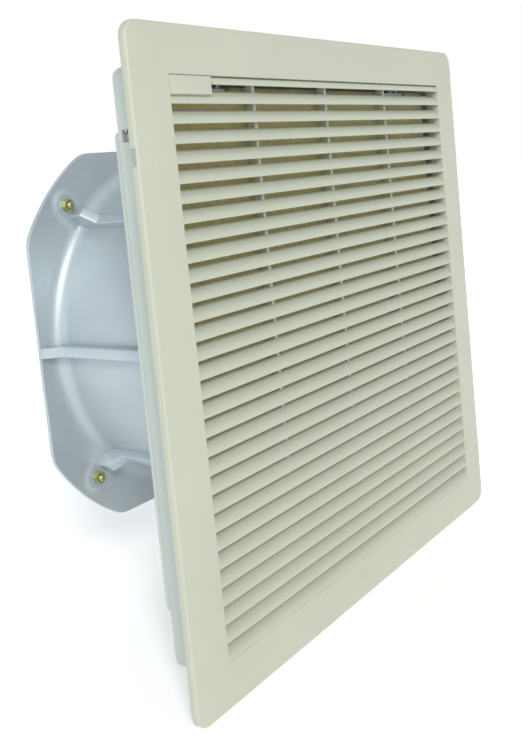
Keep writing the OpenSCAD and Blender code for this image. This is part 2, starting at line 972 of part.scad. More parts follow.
module guard_rings() {
    color(bright_steel)
        turned()
            for (i = [0 : guard_count - 1])
                translate([guard_first_r + i * guard_step, bracket_y + guard_wire_r])
                    circle(guard_wire_r, $fn = 24);
}

module motor_base() {
    color(bare_metal)
        difference() {
            turned()
                polygon([
                    [bearing_r + running_gap, tube_front_y],
                    [tube_r, tube_front_y],
                    [tube_r, motor_base_y],
                    [motor_base_r, motor_base_y],
                    [motor_base_r, rear_flange_y],
                    [tube_shoulder_r, rear_flange_y],
                    [tube_shoulder_r, bearing_back_y + bearing_w + 2 * ring_w],
                    [bearing_r + running_gap, bearing_back_y + bearing_w + 2 * ring_w],
                    [bearing_r + running_gap, bearing_back_y],
                    [tube_shoulder_r, bearing_back_y],
                    [tube_shoulder_r, bearing_front_y + bearing_w],
                    [bearing_r + running_gap, bearing_front_y + bearing_w]
                ]);
            on_four_corners()
                rod_y(screw_r + running_gap, motor_base_y - overrun, rear_flange_y + overrun, motor_screw_ring, $fn = 32);
        }
}

module motor_screws() {
    color(bright_steel)
        on_four_corners()
            translate([motor_screw_ring, 0, 0])
                pan_screw(bracket_y, bracket_t + motor_base_t - overrun);
}

module ball_bearings() {
    race = 1.6;
    shield = 0.5;
    color(bright_steel)
        turned()
            for (y = [bearing_front_y, bearing_back_y])
                translate([0, y])
                    polygon([
                        [shaft_r + running_gap, 0],
                        [shaft_r + race, 0],
                        [shaft_r + race, shield],
                        [bearing_r - race, shield],
                        [bearing_r - race, 0],
                        [bearing_r, 0],
                        [bearing_r, bearing_w],
                        [bearing_r - race, bearing_w],
                        [bearing_r - race, bearing_w - shield],
                        [shaft_r + race, bearing_w - shield],
                        [shaft_r + race, bearing_w],
                        [shaft_r + running_gap, bearing_w]
                    ]);
}

module winding_places() {
    for (i = [0 : slot_count - 1])
        rotate([0, i * 360 / slot_count, 0])
            translate([slot_ring_r, 0, 0])
                children();
}

module stator_core() {
    color([0.45, 0.46, 0.48])
        difference() {
            turned()
                translate([tube_r + running_gap, core_y])
                    square([stator_r - tube_r - running_gap, core_l]);
            winding_places()
                rod_y(slot_r + running_gap, core_y - overrun, core_y + core_l + overrun, $fn = 24);
        }
}

module stator_winding() {
    color([0.72, 0.40, 0.18])
        union() {
            turned()
                for (y = [core_y - winding_over, core_y + core_l + running_gap])
                    translate([winding_in_r, y])
                        square([winding_out_r - winding_in_r, winding_over - running_gap]);
            winding_places()
                rod_y(slot_r, core_y - winding_over / 2, core_y + core_l + winding_over / 2, $fn = 24);
        }
}

module rotor_can() {
    color([0.30, 0.31, 0.33])
        turned()
            polygon([
                [shaft_r + running_gap, rotor_front_y],
                [rotor_r - rotor_wall, rotor_front_y],
                [rotor_r, rotor_front_y + rotor_wall],
                [rotor_r, rotor_back_y],
                [rotor_r - rotor_wall, rotor_back_y],
                [rotor_r - rotor_wall, rotor_front_y + rotor_front_wall],
                [hub_boss_r, rotor_front_y + rotor_front_wall],
                [hub_boss_r, bearing_front_y - seat_gap],
                [shaft_r + running_gap, bearing_front_y - seat_gap]
            ]);
}

module rotor_core() {
    color([0.45, 0.46, 0.48])
        turned()
            translate([rotor_core_r - rotor_core_t, core_y])
                square([rotor_core_t, core_l]);
}

module motor_shaft() {
    ring_y = bearing_back_y + bearing_w + running_gap;
    color(bright_steel)
        turned()
            polygon([
                [0, rotor_front_y],
                [shaft_r, rotor_front_y],
                [shaft_r, ring_y],
                [groove_r, ring_y],
                [groove_r, ring_y + ring_w + running_gap],
                [shaft_r, ring_y + ring_w + running_gap],
                [shaft_r, ring_y + 2 * ring_w],
                [0, ring_y + 2 * ring_w]
            ]);
}

module retaining_ring() {
    ring_y = bearing_back_y + bearing_w + running_gap;
    color(bright_steel)
        turned()
            translate([groove_r + running_gap, ring_y])
                square([ring_r - groove_r - running_gap, ring_w]);
}

// One point of an impeller blade: s runs from hub to tip, c from -0.5 to 0.5 along the chord,
// and side is -1 or 1 for the two faces. The chord line turns from root_angle to tip_angle,
// bends by a parabola of camber, and sweeps forward with s squared.
function blade_point(s, c, side) =
    let (
        r = blade_root_r + s * (blade_tip_r - blade_root_r),
        chord = root_chord + s * (tip_chord - root_chord),
        angle = root_angle + s * (tip_angle - root_angle),
        bow = blade_camber_share * chord * (1 - 4 * c * c),
        skin = side * blade_t / 2 * (0.3 + 0.7 * sqrt(1 - 3.9 * c * c)),
        along = chord * c,
        off = bow + skin,
        arc = along * cos(angle) - off * sin(angle),
        depth = along * sin(angle) + off * cos(angle),
        turn = blade_sweep * s * s + arc / r * 180 / PI
    )
    [r * cos(turn), blade_mid_y + depth, r * sin(turn)];

module impeller_blade() {
    loop = 2 * (blade_points + 1);
    points = [
        for (i = [0 : blade_stations], j = [0 : loop - 1])
            j <= blade_points
                ? blade_point(i / blade_stations, j / blade_points - 0.5, 1)
                : blade_point(i / blade_stations, (loop - 1 - j) / blade_points - 0.5, -1)
    ];
    skin = [
        for (i = [0 : blade_stations - 1], j = [0 : loop - 1], half = [0, 1])
            let (
                a = i * loop + j,
                b = i * loop + (j + 1) % loop,
                c = a + loop,
                d = b + loop
            )
            half == 0 ? [a, c, b] : [b, c, d]
    ];
    top = blade_stations * loop;
    root_cap = [
        for (j = [0 : blade_points - 1], half = [0, 1])
            half == 0 ? [j, j + 1, loop - 1 - j] : [j + 1, loop - 2 - j, loop - 1 - j]
    ];
    tip_cap = [
        for (j = [0 : blade_points - 1], half = [0, 1])
            half == 0
                ? [top + j, top + loop - 1 - j, top + j + 1]
                : [top + j + 1, top + loop - 1 - j, top + loop - 2 - j]
    ];
    polyhedron(points = points, faces = concat(skin, root_cap, tip_cap));
}

module impeller() {
    color([0.25, 0.26, 0.28])
        union() {
            turned()
                translate([rotor_r + running_gap, impeller_band_y])
                    square([impeller_band, impeller_band_l]);
            for (i = [0 : blade_count - 1])
                rotate([0, i * 360 / blade_count, 0])
                    impeller_blade();
        }
}

// Side outline of a retaining latch in Y and Z, with its pivot at the origin
module latch_profile() {
    tip_z = body_w / 2 + latch_reach - latch_pivot_z;
    tip_y = latch_tip_y - latch_pivot_y;
    union() {
        circle(latch_barrel_r);
        polygon([
            [0, latch_barrel_r],
            [tip_y + latch_lip / 2, tip_z],
            [tip_y, tip_z - latch_lip / 2],
            [tip_y, tip_z - latch_lip * 2],
            [tip_y + latch_lip / 2, -latch_under],
            [0, -latch_under]
        ]);
    }
}

// The lugs at the free end lie under the wall and stop the latch from swinging out
module latch(sx, sz) {
    lug_y = latch_tip_y - latch_pivot_y + latch_lip / 2;
    lug_x = latch_w / 2 + latch_play + latch_lug_w;
    color(plastic_side)
        mirror([0, 0, sz > 0 ? 0 : 1])
            translate([sx * latch_x, latch_pivot_y, latch_pivot_z])
                difference() {
                    union() {
                        bar(-latch_w / 2, latch_w / 2)
                            latch_profile();
                        block(
                            [-lug_x, lug_y, -latch_under],
                            [lug_x, lug_y + latch_lug_l, tub_w / 2 - latch_pivot_z - seat_gap]
                        );
                    }
                    rod_x(latch_pin_r + running_gap, -latch_w, latch_w, 0, 0);
                }
}

module latch_top_left() {
    latch(-1, 1);
}

module latch_top_right() {
    latch(1, 1);
}

module latch_bottom_left() {
    latch(-1, -1);
}

module latch_bottom_right() {
    latch(1, -1);
}

module latch_pins() {
    half = latch_w / 2 + latch_play + side_gap + latch_ear_w;
    color(bright_steel)
        at_latches()
            rod_x(latch_pin_r, -half, half, latch_pivot_y, latch_pivot_z);
}

// Compression spring as one unbroken tube. Ring i stands i / 8 of a turn round the coil,
// and its points circle the wire's centre: radius = coil + wire cos k, height = rise + wire sin k.
spring_steps = 8;
spring_sides = 6;
spring_rise = spring_l - 2 * spring_wire_r - seat_gap;
spring_points = [
    for (i = [0 : spring_turns * spring_steps], k = [0 : spring_sides - 1])
        let (
            turn = i * 360 / spring_steps,
            around = k * 360 / spring_sides,
            r = spring_r + spring_wire_r * cos(around),
            rise = spring_rise * i / (spring_turns * spring_steps)
        )
        [r * cos(turn), r * sin(turn), rise + spring_wire_r * sin(around)]
];

// Least distance between points of the wire at least half a turn apart
spring_rings = spring_turns * spring_steps;
spring_gap = min([
    for (
        i = [0 : spring_rings - spring_steps / 2],
        j = [i + spring_steps / 2 : min(spring_rings, i + 2 * spring_steps)],
        k = [0 : spring_sides - 1],
        m = [0 : spring_sides - 1]
    )
    norm(spring_points[i * spring_sides + k] - spring_points[j * spring_sides + m])
]);
echo("Least gap between the turns of a latch spring, mm", spring_gap);

module coil_spring() {
    faces = [
        for (i = [0 : spring_rings - 1], k = [0 : spring_sides - 1], half = [0, 1])
            let (
                a = i * spring_sides + k,
                b = i * spring_sides + (k + 1) % spring_sides
            )
            half == 0 ? [a, b, a + spring_sides] : [b, b + spring_sides, a + spring_sides]
    ];
    first_cap = [for (k = [spring_sides - 1 : -1 : 0]) k];
    last_cap = [for (k = [0 : spring_sides - 1]) spring_rings * spring_sides + k];
    polyhedron(points = spring_points, faces = concat(faces, [first_cap], [last_cap]));
}

module latch_spring(sx, sz) {
    color(bright_steel)
        translate([
            sx * latch_x,
            latch_pivot_y - spring_at,
            sz > 0
                ? pocket_floor_z + spring_wire_r + seat_gap / 2
                : -pocket_floor_z - spring_wire_r - seat_gap / 2 - spring_rise
        ])
            coil_spring();
}

module spring_top_left() {
    latch_spring(-1, 1);
}

module spring_top_right() {
    latch_spring(1, 1);
}

module spring_bottom_left() {
    latch_spring(-1, -1);
}

module spring_bottom_right() {
    latch_spring(1, -1);
}

module lid_screw_places() {
    for (side = [0, 1])
        translate([box_x + box_wall + side * (box_w - 2 * box_wall), 0, box_z + box_h - lug_r])
            children();
}

module terminal_box() {
    low = [box_x, fan_plate_y, box_z];
    high = [box_x + box_w, fan_plate_y + box_d, box_z + box_h];
    inset = [box_wall, box_wall, box_wall];
    lug_y = fan_plate_y + lug_start_share * box_d;
    color(dark_plastic)
        difference() {
            union() {
                difference() {
                    block(low, high);
                    block(low + inset, high - [box_wall, -overrun, box_wall]);
                }
                lid_screw_places()
                    rod_y(lug_r, lug_y, high[1], $fn = 48);
            }
            translate([gland_x, gland_y, box_z - overrun])
                cylinder(h = box_wall + 2 * overrun, r = gland_r - box_wall + running_gap);
            lid_screw_places()
                rod_y(lid_screw_r + running_gap, lug_y + overrun, high[1] + overrun, $fn = 32);
        }
}

module terminal_lid() {
    lid_y = fan_plate_y + box_d;
    color(dark_plastic)
        difference() {
            union() {
                block([box_x, lid_y, box_z], [box_x + box_w, lid_y + lid_t, box_z + box_h]);
                lid_screw_places()
                    rod_y(lug_r, lid_y, lid_y + lid_t, $fn = 48);
            }
            lid_screw_places()
                rod_y(lid_screw_r + screw_play, lid_y - overrun, lid_y + lid_t + overrun, $fn = 32);
        }
}

module lid_screws() {
    grip = lid_t + (1 - lug_start_share) * box_d - 2 * overrun;
    color(bright_steel)
        lid_screw_places()
            pan_screw(fan_plate_y + box_d + lid_t, grip, lid_screw_r, 2 * lid_screw_r, lid_screw_r);
}

module terminal_block() {
    low = [box_x + (box_w - block_w) / 2, fan_plate_y + box_wall + running_gap, box_z + 3 * box_wall];
    way = block_w / 3;
    color([0.85, 0.85, 0.82])
        difference() {
            block(low, low + [block_w, block_d, block_h]);
            for (i = [0 : 2])
                translate([low[0] + (i + 0.5) * way, 0, low[2] + block_h / 2])
                    rod_y(way / 4, low[1] + block_d / 3, low[1] + block_d + overrun, $fn = 32);
        }
}

module run_capacitor() {
    x = box_x + (box_w - capacitor_l) / 2;
    y = fan_plate_y + box_wall + capacitor_r + running_gap;
    z = box_z + box_h - box_wall - capacitor_r - running_gap;
    color([0.80, 0.80, 0.78])
        rod_x(capacitor_r, x, x + capacitor_l, y, z);
}

module cable_gland() {
    neck = box_wall + overrun;
    color(dark_plastic)
        translate([gland_x, gland_y, box_z])
            rotate([180, 0, 0])
                difference() {
                    union() {
                        cylinder(h = gland_l / 3, r = gland_r, $fn = 6);
                        translate([0, 0, -neck])
                            cylinder(h = neck + gland_l, r = gland_r - box_wall);
                    }
                    translate([0, 0, -neck - overrun])
                        cylinder(h = neck + gland_l + 2 * overrun, r = gland_bore_r);
                }
}

module gland_nut() {
    thread_l = gland_l * 2 / 3 + running_gap;
    color(dark_plastic)
        translate([gland_x, gland_y, box_z - gland_l / 3 - running_gap])
            rotate([180, 0, 0])
                difference() {
                    union() {
                        cylinder(h = gland_nut_l, r = gland_r, $fn = 6);
                        cylinder(h = thread_l + box_wall, r = gland_r - box_wall / 2);
                    }
                    translate([0, 0, -overrun])
                        cylinder(h = thread_l + overrun, r = gland_r - box_wall + running_gap);
                    cylinder(h = thread_l + box_wall + overrun, r = gland_bore_r + seat_gap);
                }
}

front_cover();
blank_plate();
base_frame();
panel_gasket();
filter_mat();
hinge_pins();
fan_plate();
fan_plate_screws();
drum_front_ring();
fan_drum();
drum_screws();
cable_duct();
flange_nuts();
flange_bolts();
motor_bracket();
guard_rings();
motor_base();
motor_screws();
ball_bearings();
stator_core();
stator_winding();
rotor_can();
rotor_core();
motor_shaft();
retaining_ring();
impeller();
latch_top_left();
latch_top_right();
latch_bottom_left();
latch_bottom_right();
latch_pins();
spring_top_left();
spring_top_right();
spring_bottom_left();
spring_bottom_right();
terminal_box();
terminal_lid();
lid_screws();
terminal_block();
run_capacitor();
cable_gland();
gland_nut();
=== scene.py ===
import bmesh
import bpy
import numpy as np
from mathutils import Matrix


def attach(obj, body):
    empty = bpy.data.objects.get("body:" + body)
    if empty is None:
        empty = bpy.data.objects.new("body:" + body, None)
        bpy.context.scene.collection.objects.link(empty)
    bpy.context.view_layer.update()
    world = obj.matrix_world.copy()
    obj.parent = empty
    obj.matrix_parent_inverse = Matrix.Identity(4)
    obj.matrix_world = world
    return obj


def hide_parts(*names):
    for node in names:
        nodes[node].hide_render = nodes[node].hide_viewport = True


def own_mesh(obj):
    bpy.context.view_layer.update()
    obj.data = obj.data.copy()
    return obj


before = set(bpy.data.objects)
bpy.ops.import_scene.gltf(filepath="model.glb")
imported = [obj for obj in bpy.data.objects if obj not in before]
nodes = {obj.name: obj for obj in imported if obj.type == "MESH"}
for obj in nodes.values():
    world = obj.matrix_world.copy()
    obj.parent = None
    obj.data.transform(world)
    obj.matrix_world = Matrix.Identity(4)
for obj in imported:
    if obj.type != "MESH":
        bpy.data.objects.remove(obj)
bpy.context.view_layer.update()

mm = 0.001
print("frame loaded,", len(nodes), "nodes")

# camera of the photograph, in pixels of a 522 x 750 picture
viewpoint = {
    "place": (-0.45163, -0.28357, 0.08973),
    "right": (0.590154, -0.801580, -0.095848),
    "down": (-0.131210, 0.021909, -0.991112),
    "ahead": (0.796556, 0.597486, -0.092246),
    "focal": 921.92, "width": 522, "height": 750, "middle": (261.0, 260.0),
}


def placeCamera(v):
    data = bpy.data.cameras.new("photoCamera")
    data.sensor_width = 36
    data.lens = v["focal"] * data.sensor_width / v["height"]
    data.shift_x = (v["width"] / 2 - v["middle"][0]) / v["height"]
    data.shift_y = (v["middle"][1] - v["height"] / 2) / v["height"]
    camera = bpy.data.objects.new("photoCamera", data)
    bpy.context.scene.collection.objects.link(camera)
    axes = np.array([v["right"], -np.array(v["down"]), -np.array(v["ahead"])]).T
    camera.matrix_world = Matrix([[*axes[i], v["place"][i]] for i in range(3)] + [[0, 0, 0, 1]])
    bpy.context.scene.camera = camera


placeCamera(viewpoint)


# finishes: colour and its darker tint, patches and grain per metre, grain depth in mm
looks = {
    "coverPlastic": dict(colour=(0.475, 0.492, 0.408), tint=(0.455, 0.474, 0.392), patch=14, rough=0.42,
                         roughSpan=0.06, grain=2600, depth=0.012, fine=0.5),
    "bodyPlastic": dict(colour=(0.490, 0.535, 0.505), tint=(0.465, 0.510, 0.480), patch=18, rough=0.45,
                        roughSpan=0.06, grain=2400, depth=0.014, fine=0.5),
    "darkMoulding": dict(colour=(0.022, 0.024, 0.027), tint=(0.030, 0.031, 0.034), patch=60, rough=0.48,
                         roughSpan=0.08, grain=3000, depth=0.020, fine=0.6),
    "foam": dict(colour=(0.016, 0.016, 0.018), tint=(0.030, 0.030, 0.032), patch=700, rough=0.92,
                 roughSpan=0.05, grain=1500, depth=0.15, fine=1.0, cells=True),
    # filter mat: a dark warm tan instead of the mat's off-white, painted shade for the dim gaps between the louvre
    # blades where the mat shows through
    "shadedFleece": dict(colour=(0.52, 0.45, 0.20), tint=(0.42, 0.36, 0.15), patch=260, rough=0.95,
                   roughSpan=0.03, grain=900, depth=0.45, fine=1.0, sheen=0.35),
    "drumMetal": dict(colour=(0.50, 0.56, 0.60), tint=(0.46, 0.52, 0.56), patch=45, rough=0.44, roughSpan=0.05,
                      metallic=0.45, grain=1800, depth=0.012, fine=0.6, stretch=(1.0, 0.25, 1.0)),
    "brightSteel": dict(colour=(0.62, 0.63, 0.65), tint=(0.50, 0.51, 0.53), patch=140, rough=0.30,
                        roughSpan=0.08, metallic=1.0, grain=4000, depth=0.006, fine=0.4),
    "yellowZinc": dict(colour=(0.52, 0.51, 0.20), tint=(0.44, 0.45, 0.24), patch=320, rough=0.30,
                       roughSpan=0.08, metallic=0.9, grain=3000, depth=0.006, fine=0.4),
    "guardWire": dict(colour=(0.66, 0.67, 0.68), tint=(0.52, 0.53, 0.54), patch=90, rough=0.24,
                      roughSpan=0.07, metallic=1.0, grain=3500, depth=0.006, fine=0.4),
    "lamination": dict(colour=(0.16, 0.16, 0.17), tint=(0.09, 0.09, 0.10), patch=40, rough=0.50,
                       roughSpan=0.10, metallic=0.8, grain=2000, depth=0.05, fine=0.8, layers=2000),
    "copperWire": dict(colour=(0.58, 0.22, 0.06), tint=(0.44, 0.15, 0.04), patch=200, rough=0.34,
                       roughSpan=0.08, metallic=0.8, grain=2500, depth=0.06, fine=0.8, layers=1600),
    "rotorPaint": dict(colour=(0.030, 0.032, 0.036), tint=(0.040, 0.042, 0.046), patch=60, rough=0.55,
                       roughSpan=0.08, grain=2600, depth=0.02, fine=0.6),
    "impellerPlastic": dict(colour=(0.034, 0.036, 0.040), tint=(0.045, 0.047, 0.052), patch=40, rough=0.50,
                            roughSpan=0.08, grain=2600, depth=0.015, fine=0.6),
    "whitePlastic": dict(colour=(0.70, 0.70, 0.65), tint=(0.64, 0.64, 0.58), patch=80, rough=0.35,
                         roughSpan=0.05, grain=2600, depth=0.008, fine=0.4),
}


def makeLook(name, look):
    material = bpy.data.materials.new(name)
    material.use_nodes = True
    tree = material.node_tree
    shader = tree.nodes["Principled BSDF"]
    shader.inputs["Metallic"].default_value = look.get("metallic", 0.0)
    shader.inputs["Sheen Weight"].default_value = look.get("sheen", 0.0)
    place = tree.nodes.new("ShaderNodeTexCoord").outputs["Object"]
    if "stretch" in look:
        mapping = tree.nodes.new("ShaderNodeMapping")
        mapping.inputs["Scale"].default_value = look["stretch"]
        tree.links.new(place, mapping.inputs["Vector"])
        place = mapping.outputs["Vector"]

    def noise(scale, detail):
        node = tree.nodes.new("ShaderNodeTexNoise")
        node.inputs["Scale"].default_value = scale
        node.inputs["Detail"].default_value = detail
        tree.links.new(place, node.inputs["Vector"])
        return node.outputs["Fac"]

    def span(value, low, high):
        node = tree.nodes.new("ShaderNodeMapRange")
        node.inputs["From Min"].default_value = 0.3
        node.inputs["From Max"].default_value = 0.7
        node.inputs["To Min"].default_value = low
        node.inputs["To Max"].default_value = high
        tree.links.new(value, node.inputs["Value"])
        return node.outputs["Result"]

    colour = tree.nodes.new("ShaderNodeMix")
    colour.data_type = "RGBA"
    colour.inputs[6].default_value = (*look["colour"], 1)
    colour.inputs[7].default_value = (*look["tint"], 1)
    tree.links.new(span(noise(look["patch"], 4), 0, 1), colour.inputs[0])
    tree.links.new(colour.outputs[2], shader.inputs["Base Color"])
    tree.links.new(
        span(noise(look["patch"] * 3.7, 3), look["rough"] - look["roughSpan"], look["rough"] + look["roughSpan"]),
        shader.inputs["Roughness"],
    )
    # relief: fine grain, foam cells or thin layers
    height = noise(look["grain"], 2)
    if "cells" in look:
        cells = tree.nodes.new("ShaderNodeTexVoronoi")
        cells.inputs["Scale"].default_value = look["grain"]
        tree.links.new(place, cells.inputs["Vector"])
        height = cells.outputs["Distance"]
    if "layers" in look:
        layers = tree.nodes.new("ShaderNodeTexWave")
        layers.bands_direction = "Y"
        layers.inputs["Scale"].default_value = look["layers"] / 6.28
        layers.inputs["Distortion"].default_value = 0.4
        tree.links.new(place, layers.inputs["Vector"])
        height = layers.outputs["Fac"]
    bump = tree.nodes.new("ShaderNodeBump")
    bump.inputs["Strength"].default_value = look["fine"]
    bump.inputs["Distance"].default_value = look["depth"] * mm
    tree.links.new(height, bump.inputs["Height"])
    tree.links.new(bump.outputs["Normal"], shader.inputs["Normal"])
    return material


finish = {name: makeLook(name, look) for name, look in looks.items()}
print("finishes made,", len(finish))


def gridFaces(rows, cols, wrapRows, wrapCols):
    # quads of a grid whose points are numbered row by row
    i = np.arange(rows if wrapRows else rows - 1)[:, None]
    j = np.arange(cols if wrapCols else cols - 1)[None, :]
    k, m = (i + 1) % rows, (j + 1) % cols
    return np.stack([i * cols + j, i * cols + m, k * cols + m, k * cols + j], axis=-1).reshape(-1, 4)


def surface(points, wrapRows=False, wrapCols=False, caps=False):
    # points[..., row, column, xyz]; leading axes are copies of the same grid, caps close its first and last row
    rows, cols = points.shape[-3:-1]
    copies = points.size // (rows * cols * 3)
    offset = (np.arange(copies) * rows * cols)[:, None, None]
    faces = (gridFaces(rows, cols, wrapRows, wrapCols)[None] + offset).reshape(-1, 4).tolist()
    if caps:
        ring = np.arange(cols)[None, None]
        faces += (ring[..., ::-1] + offset).reshape(-1, cols).tolist()
        faces += (ring + (rows - 1) * cols + offset).reshape(-1, cols).tolist()
    return points.reshape(-1, 3), faces


def makePiece(name, parts, body, look, replaced=(), sharp=35, soften=0.0):
    # parts are (points in mm, faces); doubles are merged before the normals are turned outwards
    start = 0
    points, faces = [], []
    for spots, polygons in parts:
        points.append(spots)
        faces += [[v + start for v in polygon] for polygon in polygons]
        start += len(spots)
    mesh = bpy.data.meshes.new(name)
    mesh.from_pydata((np.concatenate(points) * mm).tolist(), [], faces)
    tidyMesh(mesh, sharp)
    return finishPiece(name, mesh, body, look, replaced, soften)


def tidyMesh(mesh, sharp, flatten=False):
    work = bmesh.new()
    work.from_mesh(mesh)
    bmesh.ops.remove_doubles(work, verts=work.verts, dist=2e-6)
    bmesh.ops.dissolve_degenerate(work, edges=work.edges, dist=1e-6)
    if flatten:
        bmesh.ops.dissolve_limit(work, angle_limit=np.radians(0.5), verts=work.verts, edges=work.edges)
    bmesh.ops.recalc_face_normals(work, faces=work.faces)
    work.to_mesh(mesh)
    work.free()
    mesh.shade_smooth()
    if sharp:
        mesh.set_sharp_from_angle(angle=np.radians(sharp))


def finishPiece(name, mesh, body, look, replaced, soften):
    piece = bpy.data.objects.new(name, mesh)
    bpy.context.scene.collection.objects.link(piece)
    mesh.materials.clear()
    mesh.materials.append(finish[look])
    if soften:
        bevel = piece.modifiers.new("roundEdges", "BEVEL")
        bevel.width = soften * mm
        bevel.segments = 2
        bevel.limit_method = "ANGLE"
        bevel.angle_limit = np.radians(35)
        bevel.use_clamp_overlap = False
        bevel.harden_normals = True
    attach(piece, body)
    if replaced:
        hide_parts(*replaced)
    return piece


def softened(node, body, look, edge):
    # a copy of a CAD node with its flat faces joined and its edges rounded
    mesh = nodes[node].data.copy()
    mesh.name = node + "Soft"
    tidyMesh(mesh, 0, flatten=True)
    return finishPiece(node + "Soft", mesh, body, look, (node,), edge)


def rimRows(x0, x1, z0, z1, r, y, stops=(), arc=9):
    # Rows round rounded rectangles: right side up, top to the left, left side down, bottom to the right.
    # Each corner is its centre + r (cos t, sin t), and the sides stop at the given places.
    x0, x1, z0, z1, r, y = np.broadcast_arrays(*(np.asarray(v, float) for v in (x0, x1, z0, z1, r, y)))
    x0, x1, z0, z1, r, y = (v[:, None] for v in (x0, x1, z0, z1, r, y))
    c, s = np.cos(np.linspace(0, np.pi / 2, arc))[None], np.sin(np.linspace(0, np.pi / 2, arc))[None]
    stops = np.asarray(stops, float)[None]
    up, along = np.clip(stops, z0 + r, z1 - r), np.clip(stops, x0 + r, x1 - r)
    x = np.concatenate([
        x1 + 0 * up, x1 - r + r * c, along[:, ::-1], x0 + r - r * s,
        x0 + 0 * up, x0 + r - r * c, along, x1 - r + r * s,
    ], axis=1)
    z = np.concatenate([
        up, z1 - r + r * s, z1 + 0 * along, z1 - r + r * c,
        up[:, ::-1], z0 + r - r * s, z0 + 0 * along, z0 + r - r * c,
    ], axis=1)
    return np.stack([x, y + 0 * x, z], axis=-1)


def roundedBox(low, high, r, arc=4):
    # rows shrink by r (1 - sin a) at depth r (1 - cos a) at both ends
    a = np.linspace(0, np.pi / 2, arc)
    inset = np.r_[r * (1 - np.sin(a)), r * (1 - np.sin(a[::-1]))]
    depth = np.r_[low[1] + r * (1 - np.cos(a)), high[1] - r * (1 - np.cos(a[::-1]))]
    rows = rimRows(low[0] + inset, high[0] - inset, low[2] + inset, high[2] - inset, r - inset, depth, arc=arc)
    return surface(rows, wrapCols=True, caps=True)


def turnedRows(radius, depth, count=144, x=0.0, z=0.0):
    # x = r cos a, z = r sin a about a line along Y
    a = np.linspace(0, 2 * np.pi, count, endpoint=False)
    radius, depth = np.asarray(radius, float)[:, None], np.asarray(depth, float)[:, None]
    return np.stack([x + radius * np.cos(a), depth + 0 * a, z + radius * np.sin(a)], axis=-1)


def turnedAbout(points, degrees):
    # copies of points turned about Y, one for each angle
    a = np.radians(np.asarray(degrees, float)).reshape(-1, *([1] * (points.ndim - 1)))
    x, y, z = points[..., 0], points[..., 1], points[..., 2]
    return np.stack([x * np.cos(a) - z * np.sin(a), y + 0 * a, x * np.sin(a) + z * np.cos(a)], axis=-1)


# front cover
cover = {
    "half": 161.5, "corner": 8.0, "cornerInside": 5.8, "front": -6.2, "bandIn": 150.0, "bandDrop": 0.8,
    "bandCorner": 4.0, "edge": 1.2, "tip": 0.35, "back": -1.2, "skin": -4.6, "skirt": 2.2, "wall": 2.0, "wallBack": 2.8,
    "windowEdge": 0.45, "windowCorner": 0.3, "window": (-136.9, 136.9, -138.57, 138.2), "notch": (98.0, 106.0),
    "notchTo": -4.3, "hinge": 110.0, "pocket": (5.0, 10.8), "pocketHeight": -160.7,
    "hingeDepth": -3.1, "hingeHeight": -158.9,
}


def coverShell(c):
    # Rows: window wall, rounded window edge, flat face, sloped band, rounded rim, skirt, then back along the inside
    a = np.linspace(0, np.pi / 2, 6)
    edge = c["windowEdge"]
    rimIn = c["half"] - c["edge"]
    inner = c["half"] - c["skirt"]
    tip, corner, inCorner, band = c["tip"], c["corner"], c["cornerInside"], c["bandCorner"]
    window = [(0, c["wallBack"])] + [(edge * (1 - np.cos(t)), c["front"] + edge * (1 - np.sin(t))) for t in a]
    window.append((edge + 0.2, c["front"]))
    rim = c["front"] + c["bandDrop"]
    outside = [(c["bandIn"] - 0.6, band, c["front"]), (c["bandIn"] - 0.25, band, c["front"] + 0.01),
               (c["bandIn"] + 0.25, band + 0.2, c["front"] + 0.045)]
    outside += [(rimIn - 0.6, corner - 0.3, rim - 0.05)]
    outside += [(c["half"] - c["edge"] * (1 - np.sin(t)), corner, rim + c["edge"] * (1 - np.cos(t))) for t in a]
    outside += [(c["half"], corner, c["back"] - tip), (c["half"] - 0.3 * tip, corner, c["back"] - 0.3 * tip),
                (c["half"] - tip, corner, c["back"])]
    inside = [(inner + tip, inCorner, c["back"]), (inner, inCorner, c["back"] - tip), (inner, inCorner, c["skin"])]
    frameBack = [(c["wall"], c["skin"]), (c["wall"], c["wallBack"])]
    x0, x1, z0, z1 = c["window"]
    table = [(x0 - g, x1 + g, z0 - g, z1 + g, c["windowCorner"] + g, y) for g, y in window]
    table += [(-h, h, -h, h, r, y) for h, r, y in outside + inside]
    table += [(x0 - g, x1 + g, z0 - g, z1 + g, c["windowCorner"] + g, y) for g, y in frameBack]
    low, high = c["notch"]
    spots = [-low, -high, low, high]
    spots += [side * c["hinge"] + end * p for side in (-1, 1) for end in (-1, 1) for p in c["pocket"]]
    stops = np.sort([s + d for s in spots for d in (-0.01, 0.01)] + list(np.linspace(-135, 135, 19)))
    rows = rimRows(*np.array(table).T, stops=stops)
    x, y, z = (rows[..., i].copy() for i in range(3))
    # pry notch in both side skirts
    inNotch = (np.abs(x) > c["window"][1] + 5) & (z > low) & (z < high)
    y = np.where(inNotch, np.minimum(y, c["notchTo"]), y)
    # room for the hinge ears, and the sloped back edge of the bottom skirt
    away = np.abs(np.abs(x) - c["hinge"])
    insideBottom = (z < -inner + 1) & (z > -c["half"] + 1) & (away > c["pocket"][0]) & (away < c["pocket"][1])
    z = np.where(insideBottom & (y > c["skin"] - 0.1), c["pocketHeight"], z)
    z = np.where(z < -c["half"] + 2, np.maximum(z, -c["half"] + np.maximum(0, y - c["back"] + 1.0)), z)
    return surface(np.stack([x, y, z], axis=-1), wrapRows=True, wrapCols=True)


louvre = {
    "firstLip": 134.1, "pitch": 9.089, "rows": 31, "depth": 5.2, "rise": 6.5, "wall": 1.5, "lip": 0.35,
    "topBand": 3.3, "half": 137.9, "topFrom": -106.9, "ribs": (-68.45, 0.0, 68.45), "ribHalf": 1.1,
    "ribFront": -1.6, "ribBack": 2.8, "ribSteps": 330, "flare": 1.1, "flareFall": 0.5, "underLip": 3.4,
}


